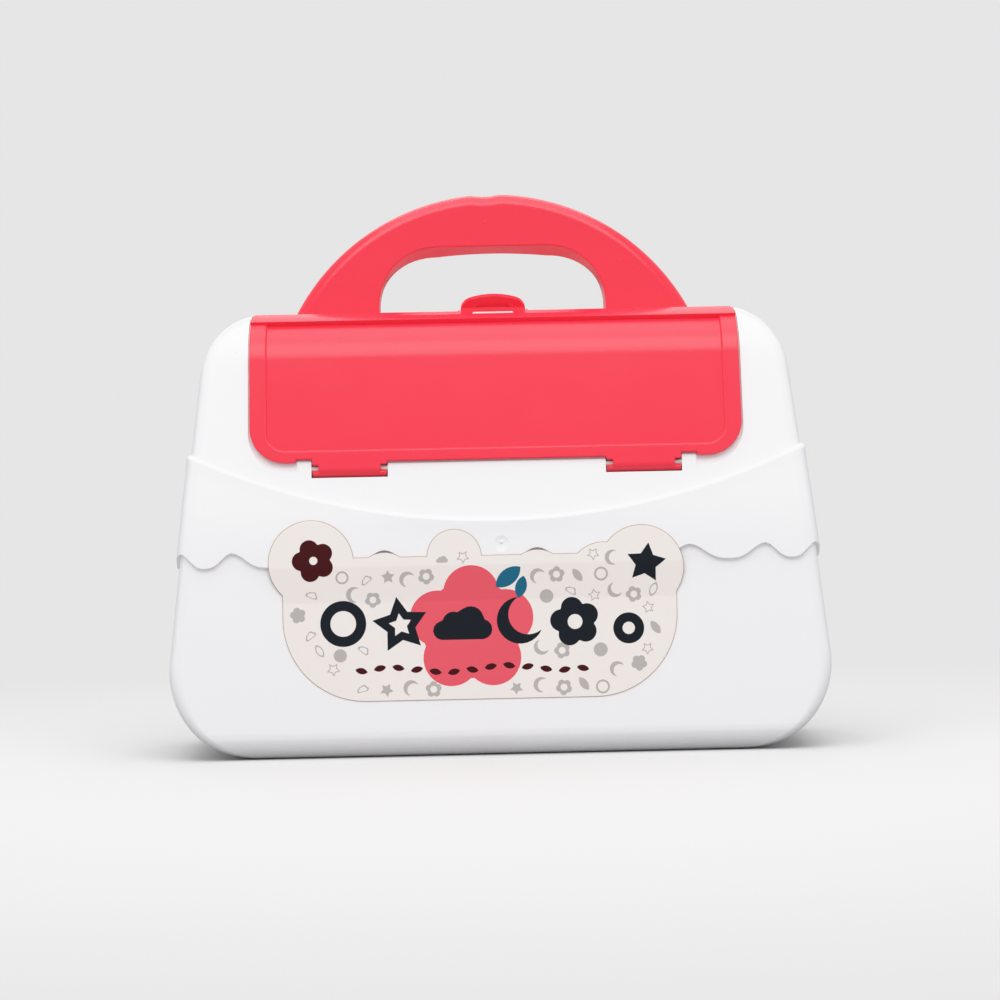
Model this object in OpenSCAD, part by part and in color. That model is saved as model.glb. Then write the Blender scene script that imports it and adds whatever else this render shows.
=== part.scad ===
// Toy doctor case: a two-shell plastic carry case with a drop-down front door,
// a clamped arch handle and a sticker on the front. Millimetres, +Z up.
// The origin is the middle of the base; the front faces -Y.

/* [Case] */
// Height of the case to its flat top
case_h = 180; // [160:1:220]
// Width of the case at its widest level
case_w = 267; // [240:1:320]
// Radius of the lower corners, seen from the front
base_corner_r = 35; // [20:1:45]
// Radius of the upper corners, seen from the front
top_corner_r = 27.5; // [18:0.5:36]
// Distance between the centres of the two upper corners
top_corner_span = 186; // [150:1:230]
// Half depth of the flat strip along the top
top_flat = 6; // [4:0.5:10]
// Radius of the shoulders between the top and the front or back
shoulder_r = 24; // [20:1:30]
// Lean of the upper face from vertical, in degrees
face_lean = 12; // [8:0.5:14]
// Lean of the lower face from vertical, in degrees
low_lean = 4; // [2:0.5:7]
// Height at which the lean changes
knee_z = 95; // [80:1:105]
// Radius of the bottom edges, seen from the side
foot_r = 10; // [6:0.5:14]
// Rounding of the upright corners, seen from above
upright_r = 6; // [4:0.5:9]
// Wall thickness of the shells
shell_t = 2; // [1.6:0.1:2.6]
// How far the parting rim stands proud
rim_proud = 1.7; // [0.8:0.1:2.4]
// Half depth of the parting rim
rim_half = 1.5; // [1:0.1:3]

/* [Band] */
// How far the scalloped band stands proud
band_proud = 1.5; // [0.8:0.1:2]
// Height of the band's upper ridge at the middle
ridge_z = 95.3; // [88:0.1:102]
// Radius of the ridge's curve, seen from the front
ridge_r = 290; // [240:5:360]
// Height of the points between the lobes
cusp_z = 83; // [78:0.5:86]
// How far the lobes hang below the points
lobe_drop = 6; // [3:0.5:8]
// Width of one lobe
lobe_pitch = 30.7; // [24:0.1:38]

/* [Door] */
// Width of the door
door_w = 200; // [180:1:230]
// Height of the door's lower edge
door_bottom = 119.2; // [117.5:0.1:120]
// Thickness of the door's rim
door_t = 2.2; // [1.8:0.1:2.6]
// How far the door's rim stands proud of the case
door_proud = 1.6; // [1.5:0.1:1.9]
// Radius of the door's lower corners
door_corner_r = 14.4; // [8:0.1:20]
// Width of the rim beside the sunk panel
door_border = 6.5; // [5:0.5:12]
// Depth of the sunk panel
panel_sink = 0.7; // [0.4:0.1:1]
// How far the lip along the top edge stands proud of the rim
lip_h = 2.2; // [1:0.1:3]
// Angle of the lip's front wall round the shoulder, from level
lip_angle = 54; // [48:1:58]
// Height of the lip's flat top over the case top
lip_over = 0.7; // [0.4:0.1:1.4]
// Gap between the door and the case
door_gap = 0.4; // [0.3:0.05:0.6]
// Width of the ledge that the door closes on
ledge_w = 7; // [5:0.5:10]

/* [Hinge] */
// Height of the hinge axis
axis_z = 116.4; // [115.5:0.1:117]
// Distance of each knuckle's centre from the middle
knuckle_x = 59.5; // [45:0.5:65]
// Length of a knuckle
knuckle_l = 30.2; // [20:0.1:36]
// Outer radius of a knuckle
knuckle_r = 3.4; // [3:0.1:3.5]
// Diameter of a hinge pin
pin_d = 2.2; // [1.8:0.1:2.6]
// Radial clearance between pin and knuckle
pin_run = 0.06; // [0.03:0.01:0.1]
// Width of the outer hinge lug
lug_w = 5.9; // [4:0.1:8]
// Width and height of the openings that show the pin
window = 2.6; // [2:0.1:3]

/* [Tab and catch] */
// Width of the finger tab
tab_w = 27; // [22:1:32]
// Height of the tab over the case top
tab_h = 7.6; // [6.5:0.1:11]
// Thickness of the tab
tab_t = 2; // [1.6:0.1:2.4]
// Lean of the tab's upper part towards the front, in degrees
tab_lean = 33; // [20:1:38]
// Width of the catch tongue
tongue_w = 16.4; // [12:0.2:18]

/* [Handle] */
// Radius of the handle's outer edge
handle_r = 93; // [84:0.5:96]
// Height of the handle's top over the case top
handle_rise = 50; // [42:0.5:56]
// Width of the hand opening
grip_w = 94; // [86:1:100]
// Thickness of the grip at the top
grip_t = 22; // [18:0.5:24]
// Radius of the hand opening's upper corners
grip_r = 24; // [14:0.5:26]
// Depth of the handle, front to back
handle_d = 18; // [16:0.5:20]
// Rounding of the handle's outer edges
handle_edge = 3; // [1.5:0.25:4]
// Wall thickness of the handle
handle_t = 2; // [1.6:0.1:2.6]
// Depth of the handle's feet below the case top
foot_depth = 11; // [8:0.5:14]

/* [Fasteners] */
// Shank diameter of the screws
screw_d = 2.9; // [2.4:0.1:3.2]
// Head diameter of the screws
head_d = 5.6; // [5:0.1:6]
// Height of a screw head
head_h = 2; // [1.5:0.1:2.5]
// Length of a shell screw under its head
shell_screw_l = 12; // [9:1:16]
// Length of a handle screw under its head
handle_screw_l = 8; // [6:0.5:9]

/* [Label] */
// Width of the sticker without its lobes
label_w = 158; // [130:1:170]
// Height of the sticker without its lobes
label_h = 56; // [48:1:58]
// Sideways offset of the sticker
label_x = -8; // [-12:1:12]
// Height of the sticker's lower edge
label_z = 23; // [18:0.5:26]
// Thickness of the sticker
label_t = 0.3; // [0.2:0.05:0.5]

/* [Hidden] */
$fn = 48;
far = 400;                      // longer than the case in any direction
arc_n = 12;                     // steps in each rounded corner
seam = 0.01;                    // overlap that joins the parts of one piece
far_out = 8;                    // pushes a copy of the case past all that stands proud of it
grow = 0.5;                     // overcut of a cutter past a face
fit_gap = 0.3;                  // gap between pieces that are set together
press_gap = 0.01;               // radial gap of a pressed pin
pilot_gap = 0.03;               // radial gap of a screw in the hole that it cuts into
shank_gap = 0.3;                // radial gap of a screw in the hole that it passes through

shoulder_c = [-top_flat, case_h - shoulder_r];
base_c = [case_w / 2 - base_corner_r, base_corner_r];
corner_c = [top_corner_span / 2, case_h - top_corner_r];

// A round stretch of an outline.
function arc(c, r, a0, a1, n = arc_n) =
    [for (i = [0:n]) let (a = a0 + (a1 - a0) * i / n) [c[0] + r * cos(a), c[1] + r * sin(a)]];
function flipped(points) = [for (i = [len(points) - 1:-1:0]) [-points[i][0], points[i][1]]];
// Outward normal of a front face that leans back by a degrees, as [y, z].
function face_normal(a) = [-cos(a), sin(a)];

// --- The case's side profile, as [y, z] points of its front half -------------------------
face_top = shoulder_c + shoulder_r * face_normal(face_lean);
knee = [face_top[0] - (face_top[1] - knee_z) * tan(face_lean), knee_z];
foot_c = [knee[0] + (foot_r + sin(low_lean) * (foot_r - knee_z)) / cos(low_lean), foot_r];
// Depth of the upper and of the lower face at height z, pushed outwards by d.
function face_y(z, d) = knee[0] - (d - sin(face_lean) * (z - knee[1])) / cos(face_lean);
function low_y(z, d) = knee[0] - (d - sin(low_lean) * (z - knee[1])) / cos(low_lean);
// The bend between the two faces, pushed outwards by d.
function knee_at(d) =
    knee + d / cos((face_lean - low_lean) / 2) * face_normal((face_lean + low_lean) / 2);
function profile(d) = concat(
    [[0, -d], [0, case_h + d]],
    arc(shoulder_c, shoulder_r + d, 90, 180 - face_lean),
    [knee_at(d)],
    arc(foot_c, foot_r + d, 180 - low_lean, 270));

// --- The case's outline, as [x, z] points seen from the front ----------------------------
corner_step = corner_c - base_c;
side_lean = atan2(corner_step[1], corner_step[0])
    - acos((base_corner_r - top_corner_r) / norm(corner_step));
function right_side(d) = concat(
    arc(base_c, base_corner_r + d, -90, side_lean),
    arc(corner_c, top_corner_r + d, side_lean, 90));
function outline(d) = concat(right_side(d), flipped(right_side(d)));
// Half width of the case at height z on its straight side, pushed outwards by d.
function side_x(z, d) = base_c[0]
    + (base_corner_r + d - (z - base_c[1]) * sin(side_lean)) / cos(side_lean);

module along_x(x0, x1) {
    translate([x0, 0, 0]) rotate([90, 0, 90]) linear_extrude(x1 - x0) children();
}
module along_y(y0, y1) {
    translate([0, y1, 0]) rotate([90, 0, 0]) linear_extrude(y1 - y0) children();
}
// A rod along X or along Y, from one coordinate to another.
module rod_x(x0, x1, y, z, r) {
    translate([x0, y, z]) rotate([0, 90, 0]) cylinder(r = r, h = x1 - x0);
}
module rod_y(y0, y1, x, z, r) {
    translate([x, y0, z]) rotate([-90, 0, 0]) cylinder(r = r, h = y1 - y0);
}
module block(low, high) { translate(low) cube(high - low); }

upright_turns = [30, 60];       // angles of the flats that round an upright corner
// One flat of the rounding of an upright corner: turn is its angle from the front face.
module upright_flat(d, z, front_y, lean, turn) {
    side_normal = [cos(side_lean), 0, sin(side_lean)];
    front_normal = [0, -cos(lean), sin(lean)];
    sum = front_normal * cos(turn) + side_normal * sin(turn);
    n = sum / norm(sum);
    cut = (upright_r + d) * (cos(turn) + sin(turn) - 1);
    translate([side_x(z, d), front_y, z] - cut * n)
        rotate([0, acos(n[2]), atan2(n[1], n[0])])
            block([-far, -upright_r * 3, 0], [far, upright_r * 3, upright_r * 2]);
}

// The front half of the case as one solid, pushed outwards by d.
module half_case(d) {
    difference() {
        intersection() {
            along_x(-far, far) polygon(profile(d));
            along_y(-far, 0) polygon(outline(d));
        }
        for (s = [0, 1], turn = upright_turns) mirror([s, 0, 0]) {
            upright_flat(d, base_c[1], low_y(base_c[1], d), low_lean, turn);
            upright_flat(d, axis_z, face_y(axis_z, d), face_lean, turn);
        }
    }
}

// --- Scalloped band -----------------------------------------------------------------------
corner_inset = 1;               // the corner's cusp lies this far inside the faces
band_corner_x = side_x(cusp_z, 0) - corner_inset;
band_corner_y = -low_y(cusp_z, 0) - corner_inset;
lobe_power = 1.6;               // sharpens the points between the lobes
// Height of the lower edge at a distance s from a lobe's centre, for lobes of one pitch.
function lobe_z(s, pitch) = cusp_z - lobe_drop
    + lobe_drop * pow((1 - cos(360 * s / pitch)) / 2, lobe_power);
lobes_front = floor((2 * band_corner_x / lobe_pitch - 1) / 2) * 2 + 1;
end_lobe = band_corner_x - lobes_front * lobe_pitch / 2;
lobes_side = round(2 * band_corner_y / lobe_pitch);
side_pitch = 2 * band_corner_y / lobes_side;
lobe_steps = 10;
function lobe_points(start, pitch) =
    [for (i = [0:lobe_steps - 1]) let (s = pitch * i / lobe_steps)
        [start + s, lobe_z(s - pitch / 2, pitch)]];
front_scallops = concat(
    lobe_points(-band_corner_x, end_lobe),
    [for (k = [0:lobes_front - 1])
        each lobe_points(-lobes_front * lobe_pitch / 2 + k * lobe_pitch, lobe_pitch)],
    lobe_points(band_corner_x - end_lobe, end_lobe),
    [[band_corner_x, cusp_z]]);
side_scallops = concat(
    [for (k = [0:lobes_side - 1]) each lobe_points(-band_corner_y + k * side_pitch, side_pitch)],
    [[band_corner_y, cusp_z]]);
// Everything under a scalloped edge.
function below(edge) = concat(
    [[far, -far], [-far, -far], [-far, cusp_z]], edge, [[far, cusp_z]]);
ridge_c = [0, ridge_z + ridge_r];

module half_band() {
    difference() {
        intersection() {
            half_case(band_proud);
            along_y(-far, 0) difference() {
                translate([-far, 0]) square([2 * far, ridge_z + ridge_r]);
                translate(ridge_c) circle(r = ridge_r, $fn = 180);
            }
        }
        intersection() {
            along_y(-far, far) polygon(below(front_scallops));
            along_x(-far, far) polygon(below(side_scallops));
        }
    }
}

// --- Handle outline -----------------------------------------------------------------------
handle_c = [0, case_h + handle_rise - handle_r];
leg_out = sqrt(pow(handle_r, 2) - pow(case_h - handle_c[1], 2));
leg_in = grip_w / 2;
grip_top = case_h + handle_rise - grip_t;
foot_low = case_h - foot_depth;
// the flange on each foot, which holds the handle under the case top
flange_grow = 3;                // how far it reaches past the foot's sides
flange_step = 1.4;              // how far it reaches past the foot's front or back
flange_h = 3;
flange_gap = 0.8;               // play under the case top
flange_top = case_h - shell_t - flange_gap;
flange_low = flange_top - flange_h;
flange_half_d = handle_d / 2 + flange_step;
// The hand opening, grown by d into the handle, and open downwards.
function grip_points(d) = let (c = [grip_w / 2 - grip_r, grip_top - grip_r]) concat(
    [[leg_in + d, -far]], arc(c, grip_r + d, 0, 90),
    flipped(arc(c, grip_r + d, 0, 90)), [[-leg_in - d, -far]]);

// --- Screw places, as [x, z] --------------------------------------------------------------
boss_r = 3.6;
sink_gap = 0.5;                 // radial gap round a screw head
sink_r = head_d / 2 + sink_gap;
sink_wall = 1.6;
boss_margin = 1;                // room between a boss and the wall
boss_inset = sink_r + sink_wall + shell_t + boss_margin;
low_screw_step = [10, boss_inset + 6 - base_corner_r];      // from a lower corner's centre
top_screw_step = [9, 8];                                    // from an upper corner's centre
shell_screw_at = [for (s = [-1, 1]) each [
    [s * (base_c[0] + low_screw_step[0]), base_c[1] + low_screw_step[1]],
    [s * (side_x(knee_z, 0) - boss_inset), knee_z],
    [s * (corner_c[0] + top_screw_step[0]), corner_c[1] + top_screw_step[1]]]];
pilot_spare = 0.6;              // depth of a pilot hole past its screw's tip
shell_head_y = 3;               // seat of the shell screw heads behind the parting plane
shell_pilot_l = shell_screw_l - shell_head_y + pilot_spare;
leg_screw_inset = 1;
leg_screw_rise = 9;
leg_screw_x = (leg_in + leg_out) / 2 - leg_screw_inset;
handle_screw_at = [[-leg_screw_x, case_h + leg_screw_rise], [0, grip_top + grip_t / 2],
    [leg_screw_x, case_h + leg_screw_rise]];
handle_head_y = 2.5;            // seat of the handle screw heads behind the parting plane
handle_pilot_l = handle_screw_l - handle_head_y + pilot_spare;

// --- Door and hinge places ----------------------------------------------------------------
recess_d = door_proud - door_t - door_gap;
axis_d = door_proud - knuckle_r;
axis_y = face_y(axis_z, axis_d);
door_back_gap = 4.7;            // between the door's rear edge and the handle
door_back_y = -handle_d / 2 - door_back_gap;
door_half = door_w / 2;
lip_top = case_h + lip_over;
knuckle_in = knuckle_x - knuckle_l / 2;
knuckle_out = knuckle_x + knuckle_l / 2;
lug_out = knuckle_out + fit_gap + lug_w;
block_in = knuckle_in - fit_gap - lug_w;
flush_drop = 1;                 // the flush face between the hinges ends under the door
flush_top = door_bottom - flush_drop;
lug_top = door_bottom + fit_gap;
recess_drop = 1.9;              // the recess reaches this far under the hinge axis
recess_bottom = axis_z - recess_drop;
recess_corner_r = 17;
sill_trim = 1;                  // the ledge is this much narrower under the opening
head_trim = 2;                  // the opening ends this far under the lip's front wall
opening_half = door_half - ledge_w;
opening_low = door_bottom + ledge_w - sill_trim;
opening_high = shoulder_c[1] + (shoulder_r + recess_d) * sin(lip_angle) - head_trim;
opening_r = 6;
opening_back_y = -rim_half - 8; // the opening is cut from the front back to here
housing_wall = 1.6;             // wall of the blocks that hold the pins
housing_foot = 2;               // how far they reach under the knuckles
pin_stop = 1;                   // wall that closes a pin hole's inner end
pin_end_gap = 0.2;

// A plate with rounded lower corners and an open top, as [x, z] points.
function apron(half, low, r, high) = concat(
    [[half, high]], flipped(arc([r - half, low + r], r, 270, 180)),
    arc([r - half, low + r], r, 270, 180), [[-half, high]]);

module hinge_housings() {
    intersection() {
        half_case(0);
        for (s = [0, 1]) mirror([s, 0, 0])
            block([block_in, -far, axis_z - knuckle_r - housing_foot],
                [lug_out, axis_y + knuckle_r + door_gap + housing_wall, opening_low - sill_trim]);
    }
}

module door_recess() {
    difference() {
        intersection() {
            difference() {
                half_case(far_out);
                half_case(recess_d);
            }
            along_y(-far, door_back_y + door_gap)
                polygon(apron(door_half + door_gap, recess_bottom, recess_corner_r, far));
        }
        // the face stays flush between the lugs, and the lugs stand in the recess
        block([-lug_out, -far, 0], [lug_out, 0, flush_top]);
        for (s = [0, 1]) mirror([s, 0, 0])
            intersection() {
                half_case(0);
                block([knuckle_out + fit_gap, -far, 0], [lug_out, 0, lug_top]);
            }
    }
}

module hinge_pockets() {
    for (s = [0, 1]) mirror([s, 0, 0]) {
        rod_x(knuckle_in - fit_gap, knuckle_out + fit_gap, axis_y, axis_z, knuckle_r + door_gap);
        block([knuckle_in - fit_gap, -far, axis_z - knuckle_r - door_gap],
            [knuckle_out + fit_gap, axis_y, door_bottom + grow]);
        rod_x(block_in + pin_stop, lug_out + grow, axis_y, axis_z, pin_d / 2 + press_gap);
    }
}

module handle_notches() {
    for (s = [0, 1]) mirror([s, 0, 0])
        block([leg_in - fit_gap, -handle_d / 2 - fit_gap, flange_low],
            [leg_out + fit_gap, grow, case_h + rim_proud + grow]);
}

// The parts that both shells share: walls, band and rim, with the cavity cut out.
module half_shell() {
    difference() {
        union() {
            half_case(0);
            half_band();
            intersection() {
                half_case(rim_proud);
                block([-far, -rim_half, -far], [far, 0, far]);
                block([-far, -far, shell_t], [far, far, far]);
            }
        }
        half_case(-shell_t);
        handle_notches();
    }
}

// --- Front shell --------------------------------------------------------------------------
module ledge_wall() {
    intersection() {
        difference() {
            half_case(-seam);
            half_case(recess_d - shell_t);
        }
        along_y(-far, door_back_y + shell_t)
            polygon(apron(door_half + door_gap + shell_t, recess_bottom - shell_t,
                recess_corner_r + shell_t, far));
    }
}

// The catch: a wedge that reaches forwards through the slot under the tab.
tongue_reach = 3.9;             // past the door's rear edge
tongue_nose = 0.7;              // height of the wedge's blunt tip
tongue_root_y = -top_flat + 2;
tongue_rib = 1;                 // depth of the rib that carries it under the case top
slot_low = lip_top - 2.4;
module catch_tongue() {
    tip_y = door_back_y - tongue_reach;
    front_y = door_back_y + door_gap;
    along_x(-tongue_w / 2, tongue_w / 2) polygon([
        [tongue_root_y, case_h - shell_t], [tongue_root_y, lip_top],
        [tip_y, lip_top], [tip_y, lip_top - tongue_nose],
        [front_y, slot_low + door_gap], [front_y, case_h - shell_t - tongue_rib]]);
}

// The door opening, seen from the front.
module opening_2d() {
    c = [opening_half - opening_r, opening_low + opening_r];
    polygon(concat([[-opening_half, opening_high], [opening_half, opening_high]],
        arc(c, opening_r, 0, -90), flipped(arc(c, opening_r, 0, -90))));
}

module front_shell() {
    color("whitesmoke") difference() {
        union() {
            half_shell();
            ledge_wall();
            hinge_housings();
            catch_tongue();
            intersection() {
                half_case(-seam);
                for (p = shell_screw_at) rod_y(-far, -fit_gap / 2, p[0], p[1], boss_r);
            }
        }
        door_recess();
        hinge_pockets();
        along_y(-far, opening_back_y) opening_2d();
        for (p = shell_screw_at) rod_y(-shell_pilot_l, grow, p[0], p[1], screw_d / 2 + pilot_gap);
    }
}

// --- Rear shell ---------------------------------------------------------------------------
module rear_shell() {
    color("whitesmoke") difference() {
        union() {
            mirror([0, 1, 0]) half_shell();
            intersection() {
                mirror([0, 1, 0]) half_case(-seam);
                for (p = shell_screw_at) rod_y(fit_gap / 2, far, p[0], p[1], sink_r + sink_wall);
            }
        }
        for (p = shell_screw_at) {
            rod_y(shell_head_y, far, p[0], p[1], sink_r);
            rod_y(-grow, shell_head_y + grow, p[0], p[1], screw_d / 2 + shank_gap);
        }
    }
}

// --- Front door ---------------------------------------------------------------------------
// The sector round the shoulder that the lip covers, as [y, z].
lip_sector = [shoulder_c, shoulder_c + far * face_normal(lip_angle), shoulder_c + [0, far]];
tab_root = lip_top - 1.2;       // where the tab starts inside the lip
tab_crease = lip_top + 1.6;     // where it bends forwards
tab_top = case_h + tab_h;
tab_setback = 2.7;              // between its front and the door's rear edge
tab_front_y = door_back_y - tab_setback;
tab_reach = (tab_top - tab_crease) * tan(tab_lean);
tab_dome_r = 29.5;              // radius of its domed top
tab_corner_r = 6;               // radius of its upper corners
tab_dome_c = [0, tab_top - tab_dome_r];

module tab() {
    corner_x = tab_w / 2 - tab_corner_r;
    corner_rise = sqrt(pow(tab_dome_r - tab_corner_r, 2) - pow(corner_x, 2));
    turn = atan2(corner_rise, corner_x);
    right = concat([[tab_w / 2, 0]],
        arc(tab_dome_c + [corner_x, corner_rise], tab_corner_r, 0, turn, 5),
        arc(tab_dome_c, tab_dome_r, turn, 90, 5));
    intersection() {
        along_x(-far, far) polygon([
            [tab_front_y + tab_t, tab_root], [tab_front_y, tab_root],
            [tab_front_y, tab_crease], [tab_front_y - tab_reach, tab_top],
            [tab_front_y - tab_reach + tab_t, tab_top], [tab_front_y + tab_t, tab_crease]]);
        along_y(-far, far) polygon(concat(right, [for (p = flipped(right)) if (p[0] < 0) p]));
    }
}

lip_end_h = 2.4;                // height of the lip's slanted ends
lip_end_slant = 1.7;            // how far they slant inwards
notch_rise = 0.9;               // room over the hinge lugs

module door_plate() {
    intersection() {
        union() {
            difference() {
                half_case_x(door_proud);
                half_case_x(door_proud - door_t);
            }
            intersection() {
                difference() {
                    half_case_x(door_proud + lip_h);
                    half_case_x(door_proud - door_t);
                }
                along_x(-far, far) polygon(lip_sector);
            }
        }
        along_y(-far, door_back_y) difference() {
            polygon(apron(door_half, door_bottom, door_corner_r, far));
            // slanted ends of the lip, and notches over the hinge lugs
            for (s = [0, 1]) mirror([s, 0]) {
                polygon([[door_half + grow, lip_top - lip_end_h],
                    [door_half, lip_top - lip_end_h],
                    [door_half - lip_end_slant, lip_top + grow],
                    [door_half + grow, lip_top + grow]]);
                translate([knuckle_out, 0]) square([lug_w + 2 * fit_gap, lug_top + notch_rise]);
            }
        }
        block([-far, -far, 0], [far, far, lip_top]);
    }
}

// The case's side profile run on past its ends, for pieces that lie on the front.
module half_case_x(d) { along_x(-far, far) polygon(profile(d)); }

arm_inset = 0.05;               // keeps the knuckles' arms just inside the plate's faces
edge_bevel = 0.6;               // half width of the bevel along the door's lower edge
panel_rise = 1.5;               // the border is this much narrower along the lower edge
slot_depth = 8;
slot_rise = 1.3;                // how far the slot's floor rises towards the front

module front_door() {
    color([0.95, 0.29, 0.36]) difference() {
        union() {
            door_plate();
            tab();
            for (s = [0, 1]) mirror([s, 0, 0]) {
                rod_x(knuckle_in, knuckle_out, axis_y, axis_z, knuckle_r);
                intersection() {
                    difference() {
                        half_case_x(door_proud - arm_inset);
                        half_case_x(door_proud - door_t + arm_inset);
                    }
                    block([knuckle_in, -far, axis_z], [knuckle_out, 0, door_bottom + grow]);
                }
            }
        }
        // sunk panel
        difference() {
            intersection() {
                difference() {
                    half_case_x(door_proud + lip_h + grow);
                    half_case_x(door_proud - panel_sink);
                }
                along_y(-far, 0) polygon(apron(door_half - door_border,
                    door_bottom + door_border - panel_rise, door_corner_r - door_border, far));
            }
            along_x(-far, far) polygon(lip_sector);
        }
        // bevel along the lower edge, so that the door swings clear of the face
        for (x = [[-far, -knuckle_out], [-knuckle_in, knuckle_in], [knuckle_out, far]])
            translate([0, face_y(door_bottom, door_proud), door_bottom])
                rotate([45, 0, 0])
                    block([x[0], -edge_bevel, -edge_bevel], [x[1], edge_bevel, edge_bevel]);
        // slot for the catch
        along_x(-tongue_w / 2 - fit_gap, tongue_w / 2 + fit_gap) polygon([
            [door_back_y + grow, slot_low], [door_back_y - slot_depth, slot_low + slot_rise],
            [door_back_y - slot_depth, lip_top + grow], [door_back_y + grow, lip_top + grow]]);
        for (s = [0, 1]) mirror([s, 0, 0]) {
            rod_x(knuckle_in - grow, knuckle_out + grow, axis_y, axis_z, pin_d / 2 + pin_run);
            for (x = [knuckle_in - grow, knuckle_out - window])
                block([x, -far, axis_z - window / 2],
                    [x + window + grow, axis_y, axis_z + window / 2]);
        }
    }
}

// --- Hinge pins ---------------------------------------------------------------------------
module hinge_pin() {
    rod_x(block_in + pin_stop + pin_end_gap, lug_out - fit_gap, axis_y, axis_z, pin_d / 2);
}
module hinge_pin_left() { color("white") mirror([1, 0, 0]) hinge_pin(); }
module hinge_pin_right() { color("white") hinge_pin(); }

// --- Handle -------------------------------------------------------------------------------
// The arch seen from the front, inset by t, with legs that go down to a level.
module arch_2d(t, low) {
    difference() {
        union() {
            intersection() {
                translate(handle_c) circle(r = handle_r - t, $fn = 180);
                translate([-far, case_h - seam]) square([2 * far, far]);
            }
            translate([-leg_out + t, low]) square([2 * (leg_out - t), case_h - low]);
        }
        polygon(grip_points(t));
    }
}

module handle_half() {
    difference() {
        union() {
            intersection() {
                along_y(-handle_d / 2, 0) arch_2d(0, foot_low);
                // rounded outer edge
                translate([0, 0, handle_c[1]]) rotate([90, 0, 0]) rotate_extrude($fn = 180)
                    polygon(concat([[0, 0], [handle_r, 0]],
                        arc([handle_r, handle_d / 2] - [handle_edge, handle_edge],
                            handle_edge, 0, 90, 5),
                        [[0, handle_d / 2]]));
            }
            intersection() {
                along_y(-flange_half_d, 0) for (s = [0, 1]) mirror([s, 0])
                    translate([leg_in - flange_grow, flange_low])
                        square([leg_out - leg_in + 2 * flange_grow, flange_top - flange_low]);
                half_case(-shell_t - fit_gap);
            }
        }
        along_y(-handle_d / 2 + handle_t, grow) arch_2d(handle_t, foot_low + handle_t);
    }
}

module handle_front() {
    color([0.95, 0.29, 0.36]) difference() {
        union() {
            handle_half();
            for (p = handle_screw_at)
                rod_y(-handle_d / 2 + handle_t - seam, -fit_gap / 2, p[0], p[1], boss_r);
        }
        for (p = handle_screw_at) rod_y(-handle_pilot_l, grow, p[0], p[1], screw_d / 2 + pilot_gap);
    }
}

module handle_rear() {
    color([0.95, 0.29, 0.36]) difference() {
        union() {
            mirror([0, 1, 0]) handle_half();
            for (p = handle_screw_at)
                rod_y(fit_gap / 2, handle_d / 2 - handle_t + seam, p[0], p[1], sink_r + sink_wall);
        }
        for (p = handle_screw_at) {
            rod_y(handle_head_y, far, p[0], p[1], sink_r);
            rod_y(-grow, handle_head_y + grow, p[0], p[1], screw_d / 2 + shank_gap);
        }
    }
}

// --- Screws -------------------------------------------------------------------------------
cross_half_l = head_d * 0.3;    // the cross slot in a screw head
cross_half_w = 0.4;
cross_depth = head_h / 2;
module screw(at, seat_y, length) {
    difference() {
        union() {
            rod_y(seat_y, seat_y + head_h, at[0], at[1], head_d / 2);
            rod_y(seat_y - length, seat_y + seam, at[0], at[1], screw_d / 2);
        }
        for (turn = [0, 90])
            translate([at[0], seat_y + head_h, at[1]]) rotate([0, turn, 0])
                block([-cross_half_l, -cross_depth, -cross_half_w],
                    [cross_half_l, grow, cross_half_w]);
    }
}
module shell_screws() {
    color("silver") for (p = shell_screw_at) screw(p, shell_head_y, shell_screw_l);
}
module handle_screws() {
    color("silver") for (p = handle_screw_at) screw(p, handle_head_y, handle_screw_l);
}

// --- Label --------------------------------------------------------------------------------
label_r = 33;                   // radius of its lower corners
// Lobes along its upper edge: the centre from the middle of that edge, and the radius.
label_lobes = [[-67.5, -0.5, 17], [-10, 1.1, 10.8], [50, -9, 14.6], [65.1, -4.7, 16.9]];
label_ramp = 8;                 // height over which the sticker comes down off the band
label_spare = 8;                // how far its route runs on past its ends
stick_gap = 0.02;               // between the sticker and the face under it
band_low = cusp_z - lobe_drop;
label_top = label_z + label_h;

function reversed(points) = [for (i = [len(points) - 1:-1:0]) points[i]];
// The sticker's route over the band and down onto the lower face, as [y, z].
function label_route(d) = [
    [face_y(knee_z + label_spare, band_proud + d), knee_z + label_spare],
    knee_at(band_proud + d),
    [low_y(band_low, band_proud + d), band_low],
    [low_y(band_low - label_ramp, d), band_low - label_ramp],
    [low_y(label_z - label_spare, d), label_z - label_spare]];

module label_2d() {
    corner = arc([label_w / 2 - label_r, label_z + label_r], label_r, -90, 0);
    polygon(concat(corner, [[label_w / 2, label_top], [-label_w / 2, label_top]],
        flipped(corner)));
    for (lobe = label_lobes) translate([lobe[0], label_top + lobe[1]]) circle(r = lobe[2]);
}

module front_label() {
    color([0.93, 0.9, 0.88]) difference() {
        intersection() {
            along_x(-far, far)
                polygon(concat(label_route(label_t + seam), reversed(label_route(stick_gap))));
            along_y(-far, 0) translate([label_x, 0]) label_2d();
        }
        half_band();
    }
}

front_shell();
rear_shell();
front_door();
hinge_pin_left();
hinge_pin_right();
handle_front();
handle_rear();
shell_screws();
handle_screws();
front_label();
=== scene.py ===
"""Looks of the toy doctor case: a two-shell carry case with a scalloped band, a drop-down
front door on two curled hinges, a clamped arch handle and a printed sticker.

Sizes are millimetres in the classes below and metres in the finished meshes. The case stands
on the floor at z = 0 and faces -Y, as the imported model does.
"""
import logging
import math
from collections.abc import Callable, Iterable
from dataclasses import dataclass, replace
from enum import Enum

import bmesh
import bpy
from bmesh.types import BMEdge, BMesh, BMVert
from bpy.types import ID, Material, Mesh, Node, NodeSocket, NodeTree, Object
from mathutils import Matrix, Vector


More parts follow.
